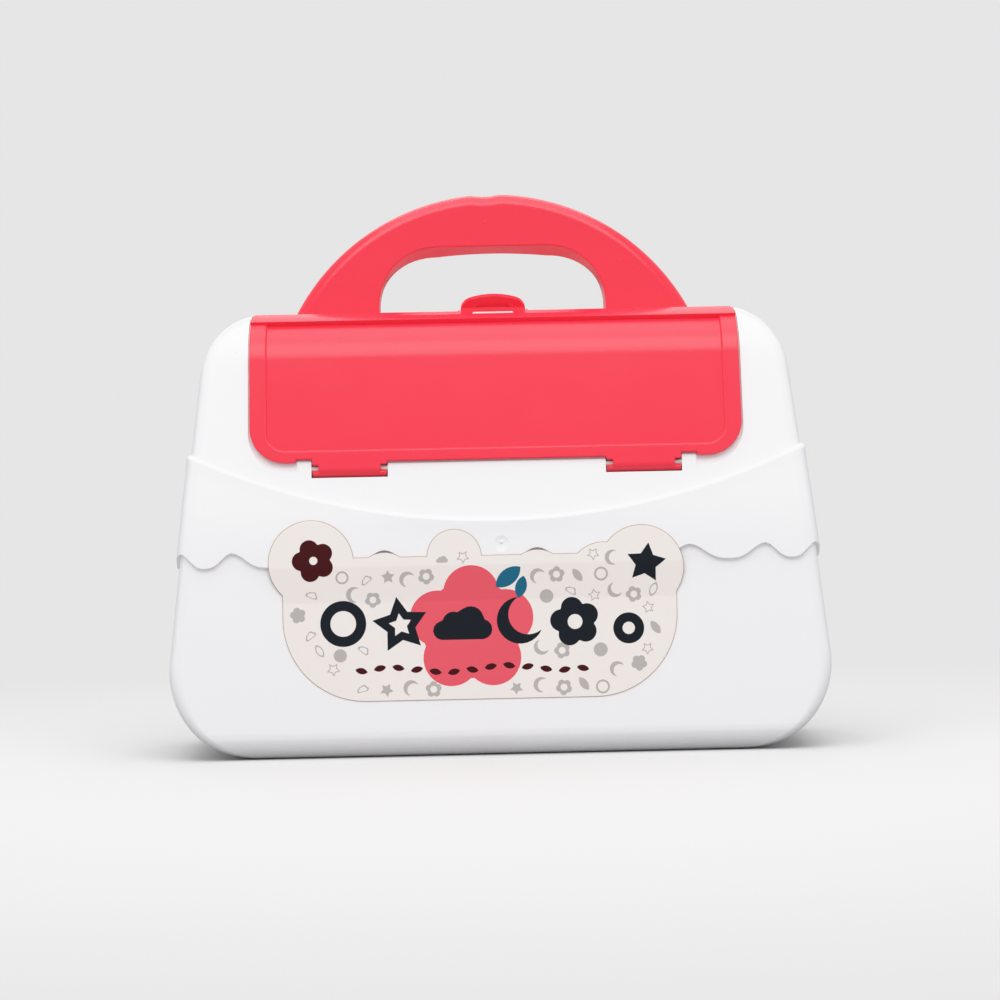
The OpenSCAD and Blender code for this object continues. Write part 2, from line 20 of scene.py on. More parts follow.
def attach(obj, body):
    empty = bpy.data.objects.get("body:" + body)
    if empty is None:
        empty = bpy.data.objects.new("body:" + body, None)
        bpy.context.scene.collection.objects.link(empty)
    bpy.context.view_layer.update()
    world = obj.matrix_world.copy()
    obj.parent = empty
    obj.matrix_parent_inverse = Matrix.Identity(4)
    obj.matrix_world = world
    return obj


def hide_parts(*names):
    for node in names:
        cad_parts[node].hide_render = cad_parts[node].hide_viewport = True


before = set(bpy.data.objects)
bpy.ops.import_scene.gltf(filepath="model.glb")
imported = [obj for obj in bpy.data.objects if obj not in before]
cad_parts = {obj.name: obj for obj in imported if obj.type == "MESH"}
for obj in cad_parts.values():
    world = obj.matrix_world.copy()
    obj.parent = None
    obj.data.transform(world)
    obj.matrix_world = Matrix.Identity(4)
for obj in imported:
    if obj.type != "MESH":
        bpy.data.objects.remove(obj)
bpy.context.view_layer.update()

MM = 0.001              # one millimetre in metres
WELD = 0.004            # corners nearer than this are one
SLIVER = 0.01           # places nearer than this to a plane lie on it
HARD_EDGE = 38.0        # degrees; edges that turn more stay sharp
BEND_STEP = 6.0         # degrees that a facet of a bent piece turns by, at most
PIP_SUNK = 0.74         # how deep a moulding mark's middle lies under the face

Point = tuple[float, float]
Triple = tuple[float, float, float]
Outline = list[Point]

logging.basicConfig(level=logging.INFO, format="%(message)s")
log = logging.getLogger("doctor_case")


# --- Outlines and solids ------------------------------------------------------------------
def arc(centre: Point, radius: float, start: float, end: float, steps: int) -> Outline:
    """Points of an arc.

    Args:
        centre: middle of the arc.
        radius: its radius.
        start: first angle in degrees, from the outline's first axis.
        end: last angle in degrees.
        steps: number of chords.

    Returns:
        steps + 1 points.
    """
    turns = (math.radians(start + (end - start) * i / steps) for i in range(steps + 1))
    return [(centre[0] + radius * math.cos(t), centre[1] + radius * math.sin(t)) for t in turns]


def flipped(outline: Outline) -> Outline:
    """The outline mirrored left to right, in reverse order."""
    return [(-a, b) for a, b in reversed(outline)]


def symmetric(right: Outline) -> Outline:
    """The right half of an outline joined to its mirror image."""
    return right + flipped(right)


def eased(share: float) -> float:
    """A share held to 0..1 and eased at both ends."""
    held = min(1.0, max(0.0, share))
    return held * held * (3 - 2 * held)


class Along(Enum):
    """The axis that an outline is pushed along."""

    X = "x"
    Y = "y"

    def place(self, a: float, b: float, t: float) -> Vector:
        """The point with outline coordinates a and b at t along the axis."""
        return Vector((t, a, b)) if self is Along.X else Vector((a, t, b))


class Join(Enum):
    """How two solids are put together."""

    ADD = "UNION"
    CUT = "DIFFERENCE"
    KEEP_SHARED = "INTERSECT"


def everything(bm: BMesh) -> list:
    """Every corner, edge and face of a mesh."""
    return bm.verts[:] + bm.edges[:] + bm.faces[:]


def pushed(bm: BMesh, shift: Iterable[float], keep: bool = False) -> BMesh:
    """Pushes a mesh's faces out into a closed solid.

    Args:
        bm: the faces.
        shift: how far and which way they are pushed.
        keep: whether the faces stay behind as the solid's back as well.

    Returns:
        The same mesh, now closed.
    """
    grown = bmesh.ops.extrude_face_region(bm, geom=bm.faces[:], use_keep_orig=keep)["geom"]
    bmesh.ops.translate(bm, verts=[g for g in grown if isinstance(g, BMVert)], vec=shift)
    bmesh.ops.recalc_face_normals(bm, faces=bm.faces)
    return bm


def prism(outline: Outline, along: Along, low: float, high: float) -> BMesh:
    """A closed outline pushed along an axis.

    Args:
        outline: (y, z) points for X, (x, z) points for Y.
        along: the axis.
        low: coordinate of one end.
        high: coordinate of the other end.

    Returns:
        A closed solid.
    """
    bm = bmesh.new()
    bm.faces.new([bm.verts.new(along.place(a, b, low)) for a, b in outline])
    return pushed(bm, along.place(0, 0, high - low))


def sheet(outline: Outline, holes: Iterable[Outline], low: float, high: float) -> BMesh:
    """A thin sheet with holes, across x and along z.

    Args:
        outline: (x, z) points round the sheet.
        holes: (x, z) points round each hole.
        low: height of its back over the route that it is bent along.
        high: height of its face.

    Returns:
        A closed solid whose face looks to -Y.
    """
    bm = bmesh.new()
    edges = []
    for ring in (outline, *holes):
        verts = [bm.verts.new((x, -low, z)) for x, z in ring]
        edges += [bm.edges.new((verts[i - 1], verts[i])) for i in range(len(verts))]
    bmesh.ops.triangle_fill(bm, edges=edges, use_beauty=True)
    return pushed(bm, (0, low - high, 0), keep=True)


def box(low: Triple, high: Triple) -> BMesh:
    """A block between two corners."""
    bm = bmesh.new()
    bmesh.ops.create_cube(bm, size=1)
    size = [b - a for a, b in zip(low, high)]
    bmesh.ops.scale(bm, vec=size, verts=bm.verts)
    bmesh.ops.translate(bm, vec=[(a + b) / 2 for a, b in zip(low, high)], verts=bm.verts)
    return bm


def rod(along: Along, low: float, high: float, at: Point, radius: float, sides: int = 48) -> BMesh:
    """A round rod along an axis.

    Args:
        along: the axis.
        low: coordinate of one end.
        high: coordinate of the other end.
        at: the rod's other two coordinates.
        radius: its radius.
        sides: number of flats.

    Returns:
        A closed solid.
    """
    return prism(arc(at, radius, 0, 360 - 360 / sides, sides - 1), along, low, high)


def spent(bm: BMesh, name: str) -> Mesh:
    """A solid as Blender's own mesh data. The solid is used up."""
    mesh = bpy.data.meshes.new(name)
    bm.to_mesh(mesh)
    bm.free()
    return mesh


def linked(name: str, data: ID) -> Object:
    """A new object that stands in the scene."""
    obj = bpy.data.objects.new(name, data)
    bpy.context.scene.collection.objects.link(obj)
    return obj


def gathered(solids: Iterable[BMesh]) -> BMesh:
    """Several solids in one mesh. The solids are used up."""
    whole = bmesh.new()
    for solid in solids:
        mesh = spent(solid, "part")
        whole.from_mesh(mesh)
        bpy.data.meshes.remove(mesh)
    return whole


def both_sides(make: Callable[[], BMesh]) -> BMesh:
    """A solid on the right and its mirror image on the left."""
    left = make()
    bmesh.ops.scale(left, vec=(-1, 1, 1), verts=left.verts)
    bmesh.ops.reverse_faces(left, faces=left.faces)
    return gathered([make(), left])


def combined(base: BMesh, other: BMesh, how: Join) -> BMesh:
    """Joins two solids exactly. Both are used up.

    Args:
        base: the solid that is worked on.
        other: the solid that is added, cut away or shared with it.
        how: which of these.

    Returns:
        The new solid.
    """
    held = [linked("work", spent(bm, "work")) for bm in (base, other)]
    step = held[0].modifiers.new("join", "BOOLEAN")
    step.operation, step.solver, step.object = how.value, "EXACT", held[1]
    seen = held[0].evaluated_get(bpy.context.evaluated_depsgraph_get())
    mesh = bpy.data.meshes.new_from_object(seen)
    made = bmesh.new()
    made.from_mesh(mesh)
    bpy.data.meshes.remove(mesh)
    for thing in held:
        mesh = thing.data
        bpy.data.objects.remove(thing)
        bpy.data.meshes.remove(mesh)
    bmesh.ops.remove_doubles(made, verts=made.verts, dist=WELD)
    bmesh.ops.dissolve_degenerate(made, edges=made.edges, dist=WELD)
    return made


def soften(bm: BMesh, chosen: Callable[[BMEdge], bool], width: float, segments: int = 2,
           turn: float = 40.0) -> None:
    """Rounds the hard edges that a test picks out.

    Args:
        bm: the solid.
        chosen: says whether an edge is rounded.
        width: how far the rounding reaches from the edge.
        segments: facets across the rounding.
        turn: an edge is hard if its faces turn by more than this many degrees.
    """
    limit = math.radians(turn)
    edges = [e for e in bm.edges
             if len(e.link_faces) == 2 and e.calc_face_angle(0) > limit and chosen(e)]
    if edges:
        bmesh.ops.bevel(bm, geom=edges, offset=width, offset_type="OFFSET", affect="EDGES",
                        segments=segments, profile=0.5, material=-1, clamp_overlap=True)


def middle(edge: BMEdge) -> Vector:
    """The middle of an edge."""
    return (edge.verts[0].co + edge.verts[1].co) / 2


def sliced(bm: BMesh, places: Iterable[float]) -> None:
    """Cuts new edge loops across a flat piece at places along z, for it to bend at."""
    for place in places:
        bmesh.ops.bisect_plane(bm, geom=everything(bm), dist=WELD, plane_no=(0, 0, 1),
                               plane_co=(0, 0, place))


class Bend:
    """A route in the (y, z) plane that a flat piece is bent along.

    The flat piece has x across, s along the route and h outwards. A turn's normal leans back
    from -Y by its angle, in degrees.
    """

    def __init__(self, start: Point, lean: float) -> None:
        """Starts the route at a point of the outer face, whose normal leans back by lean."""
        self.end, self.lean, self.length = start, lean, 0.0
        self.pieces: list[tuple[float, float, Point, float, float]] = []

    @staticmethod
    def normal(lean: float) -> Point:
        """The outward normal of a face that leans back by lean degrees."""
        return -math.cos(math.radians(lean)), math.sin(math.radians(lean))

    def straight(self, length: float) -> "Bend":
        """Adds a straight stretch."""
        self.pieces.append((self.length, length, self.end, self.lean, 0.0))
        n = self.normal(self.lean)
        self.end = (self.end[0] + n[1] * length, self.end[1] - n[0] * length)
        self.length += length
        return self

    def turn(self, radius: float, degrees: float) -> "Bend":
        """Adds a turn of the outer face, backwards for positive degrees. The radius is over 0."""
        signed = math.copysign(radius, degrees)
        n = self.normal(self.lean)
        centre = (self.end[0] - signed * n[0], self.end[1] - signed * n[1])
        length = radius * math.radians(abs(degrees))
        self.pieces.append((self.length, length, centre, self.lean, signed))
        self.lean += degrees
        m = self.normal(self.lean)
        self.end = (centre[0] + signed * m[0], centre[1] + signed * m[1])
        self.length += length
        return self

    def at(self, s: float, h: float) -> Point:
        """The (y, z) point at s along the route and h outside it."""
        begin, _, point, lean, radius = next(
            (p for p in self.pieces if s <= p[0] + p[1]), self.pieces[-1])
        step = s - begin
        if radius == 0:
            n = self.normal(lean)
            return point[0] + n[1] * step + n[0] * h, point[1] - n[0] * step + n[1] * h
        n = self.normal(lean + math.degrees(step / radius))
        return point[0] + (radius + h) * n[0], point[1] + (radius + h) * n[1]

    def cuts(self, degrees: float) -> list[float]:
        """Places where a flat piece is sliced so that each facet turns by at most degrees."""
        places = []
        for begin, length, _, _, radius in self.pieces:
            count = 1 if radius == 0 else math.ceil(math.degrees(length / abs(radius)) / degrees)
            places += [begin + length * i / count for i in range(count + 1)]
        return places

    def wrap(self, bm: BMesh) -> None:
        """Bends a flat piece, whose y is the height h and whose z is s, onto the route."""
        for v in bm.verts:
            y, z = self.at(v.co.z, -v.co.y)
            v.co = (v.co.x, y, z)


# --- The case's form ----------------------------------------------------------------------
@dataclass(frozen=True)
class Station:
    """A place on a level section of the case, from the middle of its front to its side."""

    front: float = 1.0      # share of the straight front
    turn: float = 0.0       # degrees round the upright corner
    side: float = 1.0       # share of the straight side, 0 at the parting


@dataclass(frozen=True)
class CaseForm:
    """The case's outer form, which every piece is placed by."""

    height: float = 180.0
    width: float = 267.0
    base_corner_r: float = 35.0
    top_corner_r: float = 27.5
    top_corner_span: float = 186.0
    top_flat: float = 6.0
    shoulder_r: float = 24.0
    face_lean: float = 12.0
    low_lean: float = 4.0
    knee_z: float = 95.0
    knee_soft: float = 5.0      # height over which the knee is rounded
    knee_sharp: float = 8.0     # how closely the round follows the two faces
    knee_blunt: float = 0.25    # how far the round keeps from their meeting line
    foot_r: float = 10.0
    upright_r: float = 6.0
    wall: float = 2.0
    level_turn: float = 6.0     # degrees between the levels on a round stretch
    level_gap: float = 0.3      # levels nearer than this are one
    depth_limit: float = 49.38  # half the depth where the foot's round is widest

    @property
    def shoulder(self) -> Point:
        """Centre of the shoulder's round, as (y, z)."""
        return -self.top_flat, self.height - self.shoulder_r

    @property
    def base_corner(self) -> Point:
        """Centre of a lower corner, as (x, z)."""
        return self.width / 2 - self.base_corner_r, self.base_corner_r

    @property
    def top_corner(self) -> Point:
        """Centre of an upper corner, as (x, z)."""
        return self.top_corner_span / 2, self.height - self.top_corner_r

    @property
    def side_lean(self) -> float:
        """Lean of the sides, in degrees."""
        across = self.top_corner[0] - self.base_corner[0]
        up = self.top_corner[1] - self.base_corner[1]
        share = (self.base_corner_r - self.top_corner_r) / math.hypot(across, up)
        return math.degrees(math.atan2(up, across) - math.acos(share))

    def face_y(self, z: float, d: float = 0.0) -> float:
        """The upper face's y at height z, pushed outwards by d."""
        lean = math.radians(self.face_lean)
        n = Bend.normal(self.face_lean)
        top = (self.shoulder[0] + self.shoulder_r * n[0], self.shoulder[1] + self.shoulder_r * n[1])
        return top[0] - d / math.cos(lean) + (z - top[1]) * math.tan(lean)

    def low_y(self, z: float, d: float = 0.0) -> float:
        """The lower face's y at height z, pushed outwards by d."""
        lean = math.radians(self.low_lean)
        return self.face_y(self.knee_z) - d / math.cos(lean) + (z - self.knee_z) * math.tan(lean)

    @property
    def foot(self) -> Point:
        """Centre of the bottom edge's round, as (y, z)."""
        lean = math.radians(self.low_lean)
        knee_y = self.face_y(self.knee_z)
        rise = math.sin(lean) * (self.foot_r - self.knee_z)
        return knee_y + (self.foot_r + rise) / math.cos(lean), self.foot_r

    def half_depth(self, z: float, d: float = 0.0) -> float:
        """Half the depth at height z, pushed outwards by d."""
        low_r, top_r = self.foot_r + d, self.shoulder_r + d
        if z < self.foot[1] + low_r * math.sin(math.radians(self.low_lean)):
            round_d = math.sqrt(max(0.0, low_r ** 2 - (z - self.foot[1]) ** 2))
            return min(round_d - self.foot[0], self.depth_limit + d)
        if z > self.shoulder[1] + top_r * math.sin(math.radians(self.face_lean)):
            return -self.shoulder[0] + math.sqrt(max(0.0, top_r ** 2 - (z - self.shoulder[1]) ** 2))
        low, high = -self.low_y(z, d), -self.face_y(z, d)
        apart = (low - high) / self.knee_soft * self.knee_sharp
        blunt = math.sqrt(apart ** 2 + self.knee_blunt)
        return (low + high) / 2 - self.knee_soft / (2 * self.knee_sharp) * blunt

    def half_width(self, z: float, d: float = 0.0) -> float:
        """Half the width at height z, pushed outwards by d."""
        base, top = self.base_corner, self.top_corner
        lean = math.radians(self.side_lean)
        if z < base[1] + (self.base_corner_r + d) * math.sin(lean):
            return base[0] + math.sqrt(max(0.0, (self.base_corner_r + d) ** 2 - (z - base[1]) ** 2))
        if z > top[1] + (self.top_corner_r + d) * math.sin(lean):
            return top[0] + math.sqrt(max(0.0, (self.top_corner_r + d) ** 2 - (z - top[1]) ** 2))
        return base[0] + (self.base_corner_r + d - (z - base[1]) * math.sin(lean)) / math.cos(lean)

    def point(self, at: Station, z: float, d: float = 0.0) -> Vector:
        """The point of the surface, pushed outwards by d, at a station and a height."""
        half_x, half_y = self.half_width(z, d), self.half_depth(z, d)
        r = min(self.upright_r + d, half_y)
        turn = math.radians(at.turn)
        return Vector((at.front * (half_x - r) + r * math.sin(turn),
                       -at.side * (half_y - r) - r * math.cos(turn), z))

    def levels(self, d: float) -> list[float]:
        """Heights of the level sections, close together where the form curves."""
        found = []
        for centre, r, begin, end in (
                (self.foot[1], self.foot_r, -90, self.low_lean),
                (self.base_corner[1], self.base_corner_r, -90, self.side_lean),
                (self.top_corner[1], self.top_corner_r, self.side_lean, 90),
                (self.shoulder[1], self.shoulder_r, self.face_lean, 90)):
            steps = math.ceil((end - begin) / self.level_turn)
            found += [z for _, z in arc((0, centre), r + d, begin, end, steps)]
        found += [self.knee_z + self.knee_soft * share for share in (-1, -0.5, 0, 0.5, 1)]
        found.sort()
        kept = [found[0]]
        for z in found:
            if z - kept[-1] > self.level_gap:
                kept.append(z)
        kept[-1] = found[-1]
        return kept

    def corner_stations(self, steps: int) -> list[Station]:
        """Stations round the upright corner."""
        return [Station(turn=90 * i / steps) for i in range(steps + 1)]

    def skin(self, stations: list[Station],
             level: Callable[[Station], list[tuple[float, float]]]) -> BMesh:
        """A surface over the whole case, drawn for a quarter of it and mirrored.

        Args:
            stations: places from the middle of the front to the middle of the side.
            level: gives a station's (height, push outwards) pairs, as many at each.

        Returns:
            The surface, open at its first and last level.
        """
        rows = [[self.point(at, z, d) for z, d in level(at)] for at in stations]
        across, up = len(rows) - 1, len(rows[0]) - 1
        bm = bmesh.new()
        bmesh.ops.create_grid(bm, x_segments=across, y_segments=up, size=1)
        for v in bm.verts:
            v.co = rows[round((v.co.x + 1) / 2 * across)][round((v.co.y + 1) / 2 * up)]
        for axis in "XY":
            bmesh.ops.mirror(bm, geom=everything(bm), axis=axis, merge_dist=WELD)
        bmesh.ops.remove_doubles(bm, verts=bm.verts, dist=WELD)
        return bm

    def solid(self, d: float = 0.0) -> BMesh:
        """The whole form as a solid, pushed outwards by d."""
        heights = self.levels(d)
        stations = [Station(front=0), *self.corner_stations(6), Station(turn=90, side=0)]
        bm = self.skin(stations, lambda at: [(z, d) for z in heights])
        bmesh.ops.holes_fill(bm, edges=[e for e in bm.edges if e.is_boundary], sides=0)
        bmesh.ops.recalc_face_normals(bm, faces=bm.faces)
        return bm

    def outline(self, d: float, floor: float) -> Outline:
        """The case seen from the front, pushed outwards by d and cut level at a floor."""
        base, top, lean = self.base_corner, self.top_corner, self.side_lean
        low = math.degrees(math.asin((floor - base[1]) / (self.base_corner_r + d)))
        return symmetric(arc(base, self.base_corner_r + d, low, lean, 18)
                         + arc(top, self.top_corner_r + d, lean, 90, 16))

    def before_face(self, d: float, low: float, outside: float) -> Outline:
        """The side view of all that lies outside the front face pushed outwards by d.

        Args:
            d: how far the face is pushed outwards.
            low: height that it begins at.
            outside: how far over the case's top it ends.

        Returns:
            The outline, as (y, z).
        """
        shoulder = arc(self.shoulder, self.shoulder_r + d, 180 - self.face_lean, 90, 14)
        return [(self.face_y(low, d), low), *shoulder,
                (self.shoulder[0], self.height + outside), (-self.width, self.height + outside),
                (-self.width, low)]


@dataclass(frozen=True)
class Band:
    """The scalloped band that runs round the case."""

    form: CaseForm
    proud: float = 1.48
    sunk: float = -1.0          # where the band's back lies inside the wall
    ridge_z: float = 95.3
    ridge_r: float = 290.0
    ridge_round: float = 1.4
    ridge_bead: float = 0.35    # how far the ridge stands out from the band
    cusp_z: float = 83.0
    lobe_drop: float = 6.0
    lobe_pitch: float = 30.7
    lobe_round: float = 0.4
    cusp_power: float = 1.6
    corner_inset: float = 1.0   # the corner's cusp lies this far inside the faces
    lobe_steps: int = 16
    swell_at: Point = (5.5, 3.5)    # where the face swells below the ridge, in ridge rounds
    swell: float = 0.12
    ridge_turn: float = 105.0   # degrees that the ridge's round turns through

    @property
    def corner(self) -> Point:
        """Where the front and side scallops meet, as (x, depth)."""
        return (self.form.half_width(self.cusp_z) - self.corner_inset,
                -self.form.low_y(self.cusp_z) - self.corner_inset)

    def ridge(self, x: float) -> float:
        """Height of the upper edge."""
        return self.ridge_z + self.ridge_r - math.sqrt(self.ridge_r ** 2 - x ** 2)

    def lobe(self, offset: float, pitch: float) -> float:
        """Height of the lower edge at an offset from a lobe's middle."""
        rise = (1 - math.cos(2 * math.pi * offset / pitch)) / 2
        return self.cusp_z - self.lobe_drop * (1 - rise ** self.cusp_power)

    def lower_edge(self, x: float, depth: float) -> float:
        """Height of the lower edge at a place on the case, both coordinates over 0."""
        corner_x, corner_y = self.corner
        full = (math.floor((2 * corner_x / self.lobe_pitch - 1) / 2) * 2 + 1) * self.lobe_pitch / 2
        side_pitch = 2 * corner_y / round(2 * corner_y / self.lobe_pitch)
        front = side = self.cusp_z
        if x < full:
            front = self.lobe((x + self.lobe_pitch / 2) % self.lobe_pitch - self.lobe_pitch / 2,
                              self.lobe_pitch)
        elif x < corner_x:
            front = self.lobe(x - (full + corner_x) / 2, corner_x - full)
        if depth < corner_y:
            side = self.lobe((depth + side_pitch / 2) % side_pitch - side_pitch / 2, side_pitch)
        return min(front, side)

    def stations(self) -> list[Station]:
        """Stations with one at each cusp."""
        form, corner_y = self.form, self.corner[1]
        half_x = form.half_width(self.cusp_z) - form.upright_r
        half_y = form.half_depth(self.cusp_z) - form.upright_r
        step = self.lobe_pitch / self.lobe_steps
        side_step = 2 * corner_y / round(2 * corner_y / self.lobe_pitch) / self.lobe_steps
        front = [Station(front=i * step / half_x) for i in range(math.ceil(half_x / step))]
        side = [Station(turn=90, side=i * side_step / half_y)
                for i in range(math.ceil(half_y / side_step) - 1, -1, -1)]
        return front + form.corner_stations(12) + side

    def levels(self, at: Station) -> list[tuple[float, float]]:
        """The band's section at a station, closed round its back."""
        low_at = self.form.point(at, self.cusp_z)
        high_at = self.form.point(at, self.ridge_z)
        low = self.lower_edge(low_at.x, -low_at.y)
        high = self.ridge(self.form.point(at, self.ridge(high_at.x)).x)
        r, s = self.lobe_round, self.ridge_round
        lower = arc((low + r, self.proud - r), r, 180, 90, 3)
        top = self.proud + self.ridge_bead
        begin, end = self.swell_at
        upper = [(high - begin * s, self.proud), (high - end * s, self.proud + self.swell),
                 *arc((high - s, top - s), s, self.ridge_turn, 0, 8)]
        face = [(low + (high - low) * share, self.proud) for share in (0.25, 0.5)]
        return [(low, self.sunk), *lower, *face, *upper, (high, self.sunk), (low, self.sunk)]

    def solid(self) -> BMesh:
        """The band as a closed ring."""
        bm = self.form.skin(self.stations(), self.levels)
        bmesh.ops.recalc_face_normals(bm, faces=bm.faces)
        return bm


# --- Finishes -----------------------------------------------------------------------------
def new_group(name: str, inputs: dict[str, float], output: str):
    """An empty shader node group with one result.

    Args:
        name: the group's name.
        inputs: value inputs and their defaults.
        output: name of the result.

    Returns:
        The group, its input node and its output node.
    """
    group = bpy.data.node_groups.new(name, "ShaderNodeTree")
    for key, value in inputs.items():
        group.interface.new_socket(key, in_out="INPUT", socket_type="NodeSocketFloat")
        group.interface.items_tree[key].default_value = value
    group.interface.new_socket(output, in_out="OUTPUT", socket_type="NodeSocketFloat")
    return group, group.nodes.new("NodeGroupInput"), group.nodes.new("NodeGroupOutput")


class Wiring:
    """Short calls that place and join shader nodes."""

    def __init__(self, tree: NodeTree) -> None:
        """Works on one node tree."""
        self.tree = tree

    def node(self, kind: str, links: dict | None = None, **settings) -> Node:
        """Places a node.

        Args:
            kind: the node's type, without its ShaderNode prefix.
            links: for each input, a number or colour, or the output that feeds it.
            settings: the node's own properties.

        Returns:
            The node.
        """
        made = self.tree.nodes.new("ShaderNode" + kind)
        for key, value in settings.items():
            setattr(made, key, value)
        self.fill(made, links or {})
        return made

    def fill(self, node: Node, links: dict) -> None:
        """Sets a node's inputs, or joins outputs to them."""
        for key, value in links.items():
            self.feed(node.inputs[key], value)

    def math(self, operation: str, *values, clamp: bool = False) -> NodeSocket:
        """The result of a sum on numbers or outputs."""
        made = self.node("Math", dict(enumerate(values)), operation=operation, use_clamp=clamp)
        return made.outputs["Value"]

    def noise(self, place: NodeSocket, **inputs) -> NodeSocket:
        """The value of a cloudy pattern, from 0 to 1."""
        return self.node("TexNoise", {"Vector": place, **inputs}).outputs["Fac"]

    def effect(self, group: NodeTree, **inputs) -> NodeSocket:
        """The result of a shared effect. In its inputs' names, _ stands for a space."""
        links = {key.replace("_", " "): value for key, value in inputs.items()}
        return self.node("Group", links, node_tree=group).outputs[0]

    def feed(self, socket: NodeSocket, value) -> None:
        """Sets a socket, or joins an output to it."""
        if isinstance(value, NodeSocket):
            self.tree.links.new(value, socket)
        else:
            socket.default_value = value


class Effects:
    """The effects that several finishes share, each built once."""

    WAVE_SHARE = 6.0            # height of the mould's waves over that of the grain
    RAGGED_SCALE = 260.0        # of the marks' ragged outlines
    RAGGED = 0.05               # how far they are ragged
    MARK_CORE = 0.02            # radius inside which a mark is full
    MARKED_FROM = 0.72          # share of the cells that hold no mark

    def __init__(self) -> None:
        """Builds the groups."""
        self.grain = self._grain()
        self.marks = self._marks()
        self.drift = self._drift()

    @staticmethod
    def _grain() -> NodeTree:
        """Fine moulded grain over slow waves left by the mould, as a height."""
        group, start, end = new_group("moulded_grain", {"Grain Scale": 1400, "Wave Scale": 26},
                                      "Height")
        w = Wiring(group)
        place = w.node("TexCoord").outputs["Object"]
        fine = w.noise(place, Scale=start.outputs["Grain Scale"], Detail=2.0)
        wave = w.noise(place, Scale=start.outputs["Wave Scale"], Detail=1.0)
        w.feed(end.inputs["Height"], w.math("MULTIPLY_ADD", wave, Effects.WAVE_SHARE, fine))
        return group

    @staticmethod
    def _marks() -> NodeTree:
        """Sparse small marks from the mould and from handling, as a mask."""
        group, start, end = new_group("handling_marks", {"Scale": 38, "Size": 0.045}, "Mask")
        w = Wiring(group)
        place = w.node("TexCoord").outputs["Object"]
        bent = w.noise(place, Scale=Effects.RAGGED_SCALE, Detail=2.0)
        cells = w.node("TexVoronoi", {"Vector": place, "Scale": start.outputs["Scale"],
                                      "Randomness": 1.0})
        ragged = w.math("MULTIPLY_ADD", bent, Effects.RAGGED, cells.outputs["Distance"])
        inside = w.node("MapRange", {"Value": ragged, "From Min": Effects.MARK_CORE,
                                     "From Max": start.outputs["Size"], "To Min": 1.0,
                                     "To Max": 0.0})
        hue = w.node("SeparateColor", {"Color": cells.outputs["Color"]})
        some = w.math("GREATER_THAN", hue.outputs["Red"], Effects.MARKED_FROM)
        both = w.math("MULTIPLY", inside.outputs["Result"], some, clamp=True)
        w.feed(end.inputs["Mask"], both)
        return group

    @staticmethod
    def _drift() -> NodeTree:
        """Slow, faint variation over the surface, about a middle of 0."""
        group, start, end = new_group("slow_drift", {"Scale": 14, "Amount": 0.05}, "Value")
        w = Wiring(group)
        place = w.node("TexCoord").outputs["Object"]
        cloud = w.noise(place, Scale=start.outputs["Scale"], Detail=4.0, Roughness=0.6)
        centred = w.math("SUBTRACT", cloud, 0.5)
        w.feed(end.inputs["Value"], w.math("MULTIPLY", centred, start.outputs["Amount"]))
        return group


@dataclass(frozen=True)
class Finish:
    """A moulded, printed or plated surface."""

    name: str
    colour: Triple
    mark_colour: Triple
    roughness: float = 0.4
    mark_amount: float = 0.35
    drift: float = 0.05             # share by which the colour wanders
    roughness_drift: float = 0.12
    bump: float = 0.02              # mm of height in the grain
    grain_scale: float = 1400.0
    wave_scale: float = 26.0
    mark_scale: float = 38.0
    rough_scale: float = 40.0       # of the patches in which the roughness wanders
    metallic: float = 0.0
    specular: float = 0.5

    def material(self, effects: Effects) -> Material:
        """Builds the material.

        Args:
            effects: the shared node groups.

        Returns:
            The finished material.
        """
        made = bpy.data.materials.new(self.name)
        made.use_nodes = True
        made.diffuse_color = (*self.colour, 1)
        w = Wiring(made.node_tree)
        bright = w.math("ADD", 1.0, w.effect(effects.drift, Amount=self.drift))
        wandered = w.node("MixRGB", {"Fac": 1.0, "Color1": (*self.colour, 1), "Color2": bright},
                          blend_type="MULTIPLY")
        marks = w.effect(effects.marks, Scale=self.mark_scale)
        coloured = w.node("MixRGB", {"Fac": w.math("MULTIPLY", marks, self.mark_amount),
                                     "Color1": wandered.outputs["Color"],
                                     "Color2": (*self.mark_colour, 1)})
        rough = w.effect(effects.drift, Scale=self.rough_scale, Amount=self.roughness_drift)
        grain = w.effect(effects.grain, Grain_Scale=self.grain_scale, Wave_Scale=self.wave_scale)
        raised = w.node("Bump", {"Height": grain, "Strength": 1.0, "Distance": self.bump * MM})
        w.fill(made.node_tree.nodes["Principled BSDF"], {
            "Base Color": coloured.outputs["Color"], "Metallic": self.metallic,
            "Roughness": w.math("ADD", rough, self.roughness, clamp=True),
            "Specular IOR Level": self.specular, "Normal": raised.outputs["Normal"]})
        return made


